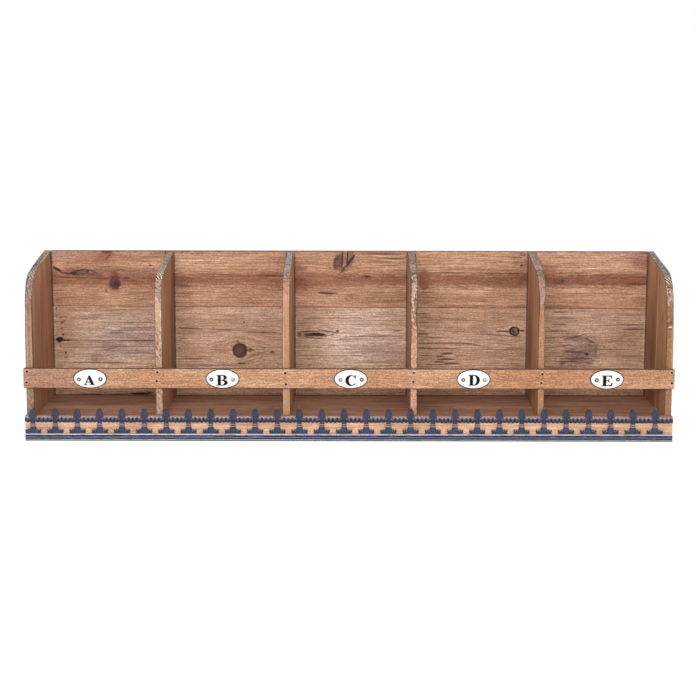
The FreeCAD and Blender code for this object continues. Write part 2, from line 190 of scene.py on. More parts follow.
def softwood_grain():
    """Grain of a sawn board: its place runs X along the grain, Y across the face, Z through."""
    g, given, end = effect_group(
        "Softwood grain", ["Place"], ["Pitch"], ["Lines", "Fibres", "Specks", "Clouds", "Frayed"]
    )
    place = given["Place"]
    x, y, z = g.split(place)
    drift = g.calc("SUBTRACT", g.streaks(place, (0.004, 0.012, 0.012), 2.0), 0.5)
    across = g.calc("MULTIPLY_ADD", drift, 7.0, g.calc("MULTIPLY_ADD", z, 0.5, y))
    crowding = g.calc("SUBTRACT", g.streaks(g.join(x, across, 0.0), (0.0015, 0.07, 1.0), 2.0), 0.5)
    turns = g.calc("DIVIDE", g.calc("MULTIPLY_ADD", crowding, 8.0, across), given["Pitch"])
    late = g.calc("POWER", g.calc("MULTIPLY_ADD", g.wave(turns), 0.5, 0.5), 6.0)
    bent = g.join(x, across, z)
    breaks = g.streaks(bent, (0.012, 0.34, 0.34), 3.0, 0.6)
    hair = g.streaks(bent, (0.013, 0.55, 0.55), 3.0, 0.6)
    rings = g.calc("MULTIPLY", late, g.rise(breaks, 0.38, 0.58, 0.05, 1.0))
    g.feed(end["Lines"], g.calc("MAXIMUM", rings, g.rise(hair, 0.5, 0.64, 0.0, 0.95)))
    g.feed(end["Fibres"], g.streaks(bent, (0.06, 0.62, 0.62), 4.0, 0.75))
    g.feed(end["Specks"], g.streaks(bent, (0.4, 0.66, 0.66), 3.0, 0.8))
    g.feed(end["Clouds"], g.streaks(place, (0.008, 0.045, 0.045)))
    g.feed(end["Frayed"], g.calc("SUBTRACT", g.streaks(place, (0.13, 0.42, 0.42), 3.0, 0.6), 0.5))
    return g.tree


def branch_knot():
    """The way the grain swings round a knot, and the knot's own disc with its dark rim."""
    g, given, end = effect_group(
        "Branch knot", ["Place", "Board", "Centre", "Size"], ["Swing", "Frayed"], ["Place", "Core", "Rim"]
    )
    shift = g.vector("SUBTRACT", given["Board"], given["Centre"])
    far = g.vector("LENGTH", g.vector("DIVIDE", shift, given["Size"]))
    edge = g.calc("MULTIPLY_ADD", given["Frayed"], 0.45, far)
    g.feed(end["Core"], g.rise(edge, 0.84, 1.04, 1.0, 0.0))
    g.feed(end["Rim"], g.calc("MULTIPLY", g.rise(edge, 0.66, 0.9), g.rise(edge, 1.0, 1.2, 1.0, 0.0)))
    fall = g.bell(g.calc("DIVIDE", far, 2.4))
    push = g.calc("MULTIPLY", g.calc("MULTIPLY", g.split(shift)[1], fall), given["Swing"])
    x, y, z = g.split(given["Place"])
    g.feed(end["Place"], g.join(x, g.calc("SUBTRACT", y, push), z))
    return g.tree


def drawn_mark():
    """A streak, spot or stain: an oval that is turned, stretched and frayed at its edge."""
    g, given, end = effect_group(
        "Drawn mark", ["Place", "Centre", "Turn", "Size"], ["Frayed", "Inner", "Strength"], ["Mask"]
    )
    sockets = {"Vector": given["Place"], "Location": given["Centre"], "Rotation": given["Turn"], "Scale": given["Size"]}
    near = g.node("ShaderNodeMapping", sockets, vector_type="TEXTURE").outputs[0]
    far = g.calc("ADD", g.vector("LENGTH", near), given["Frayed"])
    g.feed(end["Mask"], g.rise(far, given["Inner"], 1.12, given["Strength"], 0.0))
    return g.tree


def weathered_edge():
    """The worn front and top edges of an upright. Along runs across an edge, and up the front and over the top."""
    g, given, end = effect_group(
        "Weathered edge", ["Place"], ["Rings"],
        ["Along", "Edge", "Arris shade and dirt", "Streaks", "Specks", "Pits", "Chips", "Rings"],
    )
    x, y, z = g.split(given["Place"])
    up = g.calc("ADD", z, g.calc("SUBTRACT", y, FRONT))
    along = g.join(x, up, 0.0)
    g.feed(end["Along"], along)
    facing = g.normal()
    side = g.calc("ABSOLUTE", facing[0])
    ahead = g.rise(facing[1], 0.3, 0.6, 1.0, 0.0)
    g.feed(end["Edge"], g.calc("MULTIPLY", g.rise(side, 0.6, 0.85, 1.0, 0.0), ahead))
    # The rounded arrises beside the edge, which are darkened as painted shade with some dirt.
    corner = g.calc("MULTIPLY", g.rise(side, 0.3, 0.5), g.rise(side, 0.88, 0.985, 1.0, 0.0))
    g.feed(end["Arris shade and dirt"], g.calc("MULTIPLY", corner, ahead))
    g.feed(end["Streaks"], g.streaks(along, (0.5, 0.022, 1.0), 3.0, 0.6))
    g.feed(end["Specks"], g.cloud(along, 0.5, 3.0, 0.8))
    slant = g.node("ShaderNodeVectorRotate", {"Vector": along, "Angle": -0.45}, rotation_type="Z_AXIS").outputs[0]
    g.feed(end["Pits"], g.rise(g.streaks(slant, (0.42, 0.17, 1.0), 3.0, 0.75), 0.49, 0.59))
    elsewhere = g.vector("ADD", slant, (40.0, 9.0, 0.0))
    g.feed(end["Chips"], g.rise(g.streaks(elsewhere, (0.36, 0.15, 1.0), 3.0, 0.7), 0.51, 0.62))
    turns = g.calc("MULTIPLY_ADD", x, 0.23, g.calc("MULTIPLY", up, 0.12))
    bent = g.calc("ADD", turns, g.calc("MULTIPLY", g.cloud(along, 0.09, 1.0), 1.6))
    away = g.calc("DIVIDE", g.calc("SUBTRACT", up, given["Rings"]), 13.0)
    g.feed(end["Rings"], g.calc("MULTIPLY", g.wave(bent), g.bell(away)))
    return g.tree


GRAIN, KNOT, MARK, WEATHER = softwood_grain(), branch_knot(), drawn_mark(), weathered_edge()


# Materials

def finish_for(name, metallic=0.0, gloss=0.5, coat=0.0):
    """A new material, with its graph and its Principled shader."""
    material = bpy.data.materials.new(name)
    material.use_nodes = True
    shader = material.node_tree.nodes["Principled BSDF"]
    for key, value in (
        ("Metallic", metallic), ("Specular IOR Level", gloss), ("Coat Weight", coat), ("Coat Roughness", 0.06)
    ):
        shader.inputs[key].default_value = value
    return material, Graph(material.node_tree), shader


def weathered(g, edge, frayed, colour, rough, height):
    """An upright's colour, roughness and height, with its worn edge where that shows, and painted shade with some dirt
    on the arrises beside it.
    """
    stops, rings, ring_strength, edge_marks = edge
    worn = g.effect(WEATHER, Place=g.place(), Rings=rings)
    bare, ragged = g.ramp(g.split(worn["Along"])[1], EDGE_LENGTH, stops)
    ragged = g.calc("MULTIPLY", ragged, 1.5, clamp=True)
    streaked = g.rise(worn["Streaks"], 0.3, 0.7, 0.88, 1.1)
    bare = g.shaded(bare, g.calc("MULTIPLY", streaked, g.rise(worn["Specks"], 0.36, 0.64, 0.66, 1.2)))
    bare = g.marked(bare, worn["Along"], edge_marks, frayed, 0.5)
    bare = g.mix(g.calc("MULTIPLY", worn["Pits"], ragged), bare, BARK)
    bare = g.mix(g.calc("MULTIPLY", worn["Chips"], g.calc("MULTIPLY", ragged, 0.8)), bare, CREAM)
    for strength, shade in ((ring_strength, CREAM), (-ring_strength, BARK)):
        bare = g.mix(g.calc("MULTIPLY", worn["Rings"], strength, clamp=True), bare, shade)
    colour = g.mix(worn["Edge"], colour, bare)
    # Painted shade, with some dirt, darkens the rounded arrises beside the edge.
    colour = g.mix(g.calc("MULTIPLY", worn["Arris shade and dirt"], 0.8), colour, PITCH)
    rough = g.calc("MULTIPLY_ADD", g.calc("MULTIPLY", worn["Edge"], ragged), 0.25, rough)
    relieved = g.calc("MULTIPLY", g.calc("SUBTRACT", worn["Chips"], worn["Pits"]), g.calc("MULTIPLY", ragged, 1.5))
    return colour, rough, g.calc("ADD", g.calc("MULTIPLY", relieved, worn["Edge"]), height)


def wood(name, run, offset, pale, deep, line, pitch=5.0, knots=(), patches=(), marks=(), lines=0.6, fibres=0.3,
         specks=0.12, edge=None, relief=0.25):
    """A bare board. run says which way its grain goes: along x on a standing or lying face, or up z."""
    material, g, shader = finish_for(name, gloss=0.3)
    x, y, z = g.split(g.place())
    board = {"x standing": g.join(x, z, y), "x lying": g.join(x, y, z), "z": g.join(z, y, x)}[run]
    frayed = g.effect(GRAIN, Place=board, Pitch=pitch)["Frayed"] if knots or patches or marks else 0.0
    flow, discs = board, []
    for across, up, wide, high, swing, *disc in knots:
        made = g.effect(
            KNOT, Place=flow, Board=board, Centre=(across, up, 0), Size=(wide, high, ANY_DEPTH), Swing=swing,
            Frayed=frayed,
        )
        flow = made["Place"]
        discs += [(made[part], shade, strength) for part, shade, strength in disc]
    grain = g.effect(GRAIN, Place=g.vector("ADD", flow, offset), Pitch=pitch)
    colour = g.mix(g.rise(grain["Clouds"], 0.36, 0.64), pale, deep)
    colour = g.marked(colour, board, patches, g.calc("MULTIPLY", frayed, 1.5), 0.2)
    colour = g.mix(g.calc("MULTIPLY", grain["Lines"], lines), colour, line)
    feathered = g.calc("MULTIPLY", frayed, 0.6)
    colour = g.marked(colour, board, marks, feathered, 0.7)
    for mask, shade, strength in discs:
        colour = g.mix(g.calc("MULTIPLY", mask, strength), colour, shade)
    fine = g.rise(grain["Fibres"], 0.32, 0.68, 1.0 - fibres, 1.0 + fibres * 0.6)
    speckled = g.rise(grain["Specks"], 0.3, 0.7, 1.0 - specks, 1.0 + specks * 0.7)
    colour = g.shaded(colour, g.calc("MULTIPLY", fine, speckled))
    rough = g.calc("MULTIPLY_ADD", grain["Fibres"], 0.2, 0.52)
    height = g.calc("MULTIPLY_ADD", grain["Lines"], -0.6, g.calc("MULTIPLY", grain["Fibres"], 0.8))
    if edge:
        colour, rough, height = weathered(g, edge, feathered, colour, rough, height)
    g.dress(shader, colour, g.calc("MINIMUM", rough, 0.95), height, relief)
    return material


def cast_metal():
    """Dark blue-grey casting with a violet bloom: painted highlights on its upper sides, painted shade on its
    undersides, and painted highlights and shade in bands by height.
    """
    material, g, shader = finish_for("Patinated casting", metallic=0.45)
    place = g.place()
    sand = g.cloud(place, 0.9, 3.0, 0.65)
    colour = g.mix(g.rise(g.cloud(place, 0.07, 4.0), 0.4, 0.62), tint(56, 66, 78), tint(72, 66, 90))
    upward = g.normal()[2]
    # Painted highlights: the upper sides are lightened, broken up by the sand noise.
    painted_highlight = g.calc("MULTIPLY", g.rise(upward, 0.4, 0.85), g.rise(sand, 0.36, 0.56, 0.4, 1.0))
    colour = g.mix(g.calc("MULTIPLY", painted_highlight, 0.9), colour, tint(212, 210, 224))
    # Painted shade: the undersides are darkened.
    colour = g.mix(g.calc("MULTIPLY", g.rise(upward, -0.1, -0.65), 0.85), colour, tint(24, 24, 32))
    colour = g.mix(g.rise(sand, 0.56, 0.72, 0.0, 0.45), colour, tint(30, 31, 40))
    # Painted highlights and painted shade in bands by height.
    shade, share = g.ramp(g.split(place)[2], CREST_HEIGHT, CAST_HIGHLIGHTS_AND_SHADE)
    broken = g.rise(g.cloud(g.vector("MULTIPLY", place, (0.25, 1.0, 1.0)), 0.3, 3.0, 0.6), 0.34, 0.56, 0.35, 1.0)
    colour = g.mix(g.calc("MULTIPLY", share, broken), colour, shade)
    height = g.calc("MULTIPLY_ADD", g.cloud(place, 0.35, 2.0), 1.5, sand)
    g.dress(shader, colour, g.rise(sand, 0.3, 0.7, 0.26, 0.44), height, 0.12)
    return material


def enamel(name, body, stain, share, coat=0.6, gloss=0.5):
    """Fired enamel: glossy, very slightly rippled, with a faint bloom of dirt."""
    material, g, shader = finish_for(name, gloss=gloss, coat=coat)
    place = g.place()
    colour = g.mix(g.rise(g.cloud(place, 0.12, 4.0, 0.6), 0.5, 0.75, 0.0, share), body, stain)
    rough = g.rise(g.cloud(place, 0.4, 3.0), 0.3, 0.7, 0.14, 0.26)
    g.dress(shader, colour, rough, g.cloud(place, 0.16, 2.0), 0.05)
    return material


def metal(name, bright, dull, low, high, metallic=1.0, scale=0.5, gloss=0.5):
    """Small steel parts, tarnished in patches, with a roughness between low and high."""
    material, g, shader = finish_for(name, metallic=metallic, gloss=gloss)
    place = g.place()
    patches = g.cloud(place, scale, 4.0, 0.6)
    colour = g.mix(g.rise(patches, 0.4, 0.62), bright, dull)
    g.dress(shader, colour, g.rise(patches, 0.35, 0.65, low, high), g.cloud(place, 2.0, 2.0), 0.04)
    return material


# The casting's painted highlights and shade by height: painted shade in the hollows under and between the reeds and
# between the collars, and painted highlight lines on the reeds, the collars and the leaf tips.
CAST_HIGHLIGHTS_AND_SHADE = (
    (0, INK, 0.95), (1.5, INK, 0.95), (1.9, tint(140, 144, 160), 0.85), (2.6, tint(140, 144, 160), 0.85),
    (3.2, tint(36, 38, 50), 0.95), (3.9, tint(36, 38, 50), 0.95), (4.4, tint(60, 62, 80), 0.7),
    (5.2, tint(92, 92, 114), 0.85), (5.9, tint(92, 92, 114), 0.85), (6.6, tint(36, 36, 48), 0.95),
    (7.6, tint(40, 38, 52), 0.95), (8.6, tint(66, 62, 84), 0.7), (9.3, tint(196, 198, 212), 0.8),
    (10.2, tint(196, 198, 212), 0.8), (10.8, tint(40, 42, 54), 0.5), (12.4, tint(40, 42, 54), 0),
    (20.6, tint(190, 178, 190), 0), (21.1, tint(200, 186, 196), 0.75), (21.8, tint(200, 186, 196), 0.75),
    (22.3, tint(60, 56, 70), 0.4), (23.2, tint(60, 56, 70), 0.4), (23.7, tint(200, 186, 196), 0.75),
    (24.4, tint(200, 186, 196), 0.75), (24.9, tint(60, 60, 74), 0), (45, tint(150, 156, 164), 0),
    (46.4, tint(160, 166, 172), 0.7),
)

# Knots: centre, half sizes, how far the grain swings, then the shade and strength of the disc and its rim, if any.
UPPER_KNOTS = (
    (-343.7, 198, 7, 10, 0.35), (-10, 231, 12, 15, 0.35), (23.1, 206.4, 7, 3.2, 0.6), (-34.9, 183, 12, 2, 0.5),
    (308.5, 201, 7, 2.8, 0.8),
)
LOWER_KNOTS = (
    (-426.3, 112.5, 4.6, 3.6, 0.8),
    (-162, 97, 10.2, 10.6, 0.85, ("Core", tint(96, 56, 50), 0.96), ("Rim", tint(56, 30, 24), 0.85)),
    (-52.7, 121.2, 15, 3.6, 0.9), (242.2, 127, 6.6, 5.4, 0.85), (350.7, 92.6, 2.6, 2.4, 0.7),
)
# Patches and marks: centre, half sizes, turn in degrees, shade and strength.
UPPER_PATCHES = (
    (0, 203, FULL, 15, 0, tint(152, 100, 74), 0.8), (290, 203, 190, 13, 0, tint(126, 78, 52), 0.72),
    (-370, 212, 80, 13, 0, tint(142, 94, 78), 0.75), (-360, 236, 90, 16, 0, tint(166, 118, 94), 0.9),
    (430, 232, 40, 20, 0, tint(150, 118, 104), 0.5), (-330, 205, 50, 7, 0, tint(146, 92, 74), 0.5),
    (0, 246, FULL, 2.3, 0, tint(66, 38, 28), 0.95),
)
LOWER_PATCHES = (
    (-350, 112, 95, 60, 0, tint(216, 188, 172), 0.6), (-328.5, 112, 58, 30, 0, tint(204, 178, 170), 0.6),
    (15, 112, 85, 55, 0, tint(236, 210, 192), 0.9), (180, 152, 95, 18, 0, tint(184, 138, 104), 0.75),
    (344.4, 102, 42, 36, 0, tint(146, 118, 108), 0.5), (338, 87, 36, 20, 0, PLUM, 0.75),
    (356, 102, 16, 17, 0, PLUM, 0.5), (338, 117, 19, 6, 0, PLUM, 0.6), (-415, 124, 26, 46, 0, TAN, 0.4),
    (-338, 121, 28, 8, 0, PLUM, 0.4), (-352, 103, 26, 10, 0, PLUM, 0.4), (-370, 86, 26, 9, 0, PLUM, 0.4),
    (-300, 112, 34, 30, 0, MAUVE, 0.45), (350, 154, 90, 22, 0, tint(184, 146, 118), 0.6),
    (405, 112, 38, 60, 0, tint(178, 136, 110), 0.6), (0, 36, FULL, 10, 0, tint(212, 162, 130), 0.7),
)
UPPER_MARKS = (
    # Left bay: a bark pocket, a branch scar and red heart streaks.
    (-428.5, 217.7, 8, 2.5, -28, BARK, 0.98), (-416.2, 212, 9.7, 1.8, -8, DAMSON, 0.86),
    (-396.3, 213.5, 13.7, 3.4, 6, PLUM, 0.92), (-395.5, 216.5, 12.1, 1, 10, PITCH, 0.98),
    (-397.1, 210.5, 12.1, 1, 5, BARK, 0.86), (-405.2, 212.3, 6.4, 1.7, 5, PITCH, 0.98),
    (-384.4, 214.9, 2.4, 3.8, -20, BARK, 0.86), (-375.8, 214.7, 8, 1.6, -20, UMBER, 0.8),
    (-372.2, 209.7, 11.3, 1.8, -5, BROWN, 0.69), (-401.7, 205.5, 33.7, 1.5, -2, UMBER, 0.6),
    (-362.1, 204.1, 16.9, 1.2, 0, UMBER, 0.63), (-343.7, 200.5, 12.1, 16.9, 0, RUST, 0.63),
    (-344.2, 198.6, 8.6, 11.6, -5, DAMSON, 0.95), (-341.8, 196, 5, 7.4, 0, BARK, 0.75),
    (-344.5, 210.9, 3.6, 6.1, 0, BROWN, 0.63), (-328.6, 204.7, 8, 1.2, 0, BARK, 0.92),
    (-320.3, 200.9, 17.8, 1.3, -4, SIENNA, 0.75), (-313.8, 196.7, 12.9, 1.2, -3, SIENNA, 0.69),
    (-357.6, 186.2, 1.6, 2.6, 0, UMBER, 0.8), (-358.4, 238.3, 13.7, 9.2, 25, RUST, 0.8),
    (-355.4, 244.1, 8.9, 2.6, 0, UMBER, 0.98), (-354.1, 236.1, 7.7, 1.3, 52, UMBER, 0.8),
    (-291.7, 223.9, 2.4, 1.3, 0, BARK, 0.86), (-412.8, 227.9, 2.4, 2.5, 0, BROWN, 0.69),
    (-421.5, 234.5, 16.2, 8.4, 0, MAUVE, 0.4),
    # Second bay: heart streaks.
    (-187.4, 210.5, 45, 1.1, -3, BROWN, 0.55), (-114.1, 209.3, 25.3, 1.2, 0, UMBER, 0.64),
    (-247.7, 200.7, 14.5, 9.2, 0, RUST, 0.57), (-240.4, 193.3, 17.8, 1.2, 0, BROWN, 0.69),
    (-143.4, 205.4, 18.3, 6.3, 0, RUST, 0.52), (-212.6, 188.9, 39.3, 0.9, 0, MAUVE, 0.46),
    (-234.1, 230.7, 19.7, 0.8, 0, STRAW, 0.69), (-172.5, 235.7, 22.5, 0.8, 0, STRAW, 0.57),
    (-201.9, 226, 28.1, 0.8, 0, LINE, 0.46), (-146.1, 241, 35.1, 0.8, 0, LINE, 0.46),
    # Middle bay: a large slanting knot at the top, a small one, a slit and a curl.
    (-8.5, 230.9, 15.3, 17.8, -25, LINE, 0.86), (-17.6, 228.6, 6.8, 11.8, -12, BROWN, 0.86),
    (-6.7, 233.8, 5.5, 15.1, -6, ROSE, 0.92), (-10.8, 233.1, 1.5, 15.1, -4, BARK, 0.98),
    (-3.2, 234.6, 1.5, 14.3, -4, BARK, 0.98), (1.5, 231.6, 2.3, 11.8, -34, BARK, 0.98),
    (-9.2, 218.7, 8.4, 1.8, 52, UMBER, 0.92), (-21.1, 229.4, 1.6, 10.9, -8, UMBER, 0.69),
    (3.9, 242, 2.4, 6.7, -10, BROWN, 0.69), (24.5, 207.2, 9.7, 3, 0, UMBER, 0.8),
    (26.1, 206.9, 3.6, 2, 0, PITCH, 0.92), (41.4, 204.2, 63.2, 4.2, 0, RUST, 0.46),
    (-34.2, 183, 13.7, 1.3, -3, PITCH, 1), (-32, 183.3, 16.9, 2.8, -3, BROWN, 0.57),
    (-1.1, 175.9, 7.2, 5.4, 20, RUST, 0.57), (-0.2, 175.6, 3.7, 2.2, 20, MAUVE, 0.69),
    (50, 241.3, 28.1, 1.1, -2, BARK, 0.64), (60.3, 234.7, 23.9, 1.1, -2, UMBER, 0.8),
    (45.7, 229.5, 21.1, 0.9, 0, UMBER, 0.69), (53, 238.1, 23.9, 0.8, -2, STRAW, 0.69),
    (61.8, 231.9, 19.7, 0.8, -2, STRAW, 0.57), (56, 224.2, 19.7, 0.9, 0, UMBER, 0.69),
    (-70.1, 196.6, 14.5, 10.9, 0, RUST, 0.57), (-73, 220.4, 12.9, 5, 0, RUST, 0.46),
    # Fourth bay: red heart, and rungs of torn grain beside the third divider.
    (176.4, 201.5, 84.3, 3.2, 0, RUST, 0.46), (142.5, 213.7, 37.9, 1.1, 0, UMBER, 0.64),
    (223.2, 212.9, 36.5, 1.1, 0, UMBER, 0.6), (109.6, 202.9, 8, 18.6, 0, RUST, 0.69),
    (114.9, 184.7, 11.3, 1.2, 0, BARK, 0.6), (117.9, 176.7, 11.3, 1.2, 0, UMBER, 0.52),
    (114.9, 191, 9.7, 1, 0, UMBER, 0.48), (113.6, 169.4, 9.7, 1.2, 0, UMBER, 0.48),
    (249.2, 234.3, 16.2, 13.4, 0, TAN, 0.57), (252, 224.5, 1.7, 2, 0, PITCH, 0.98),
    (244.8, 236.4, 8, 1, 0, UMBER, 0.8), (234.6, 231.9, 9.7, 0.8, 0, STRAW, 0.69),
    (247.9, 228.7, 8, 1, 0, BROWN, 0.69), (253.5, 241, 6.4, 2.6, 0, BROWN, 0.69),
    (157.8, 200, 0.8, 30.9, 0, RUST, 0.46), (227.9, 195.7, 25.3, 7, 0, RUST, 0.32),
    (220.3, 208.8, 33.7, 0.8, 0, MAUVE, 0.46), (149.8, 220.8, 42.1, 0.8, 0, BROWN, 0.42),
    (176.1, 229, 36.5, 0.8, 0, STRAW, 0.46),
    # Right bay: a knot in the heart streak and two dull areas.
    (307.5, 200.9, 8.4, 2.9, 0, UMBER, 0.56), (367.3, 197.7, 59, 1.2, 0, BROWN, 0.55),
    (415.6, 202, 23.9, 9.1, 0, RUST, 0.75), (425, 234.7, 14.5, 15.1, -15, ROSE, 0.69),
    (420.1, 197.5, 19.7, 1.2, 0, UMBER, 0.75), (362.6, 210.1, 50.6, 0.9, 0, BROWN, 0.46),
    (295, 215.1, 9.7, 10.1, 0, RUST, 0.52), (384.3, 220.5, 42.1, 0.8, 0, STRAW, 0.46),
    (351.7, 235.4, 42.1, 0.8, 0, LINE, 0.46), (430.5, 245, 8, 3.4, 0, BROWN, 0.69),
    (390.5, 206.4, 28.1, 0.9, 0, UMBER, 0.46),
)
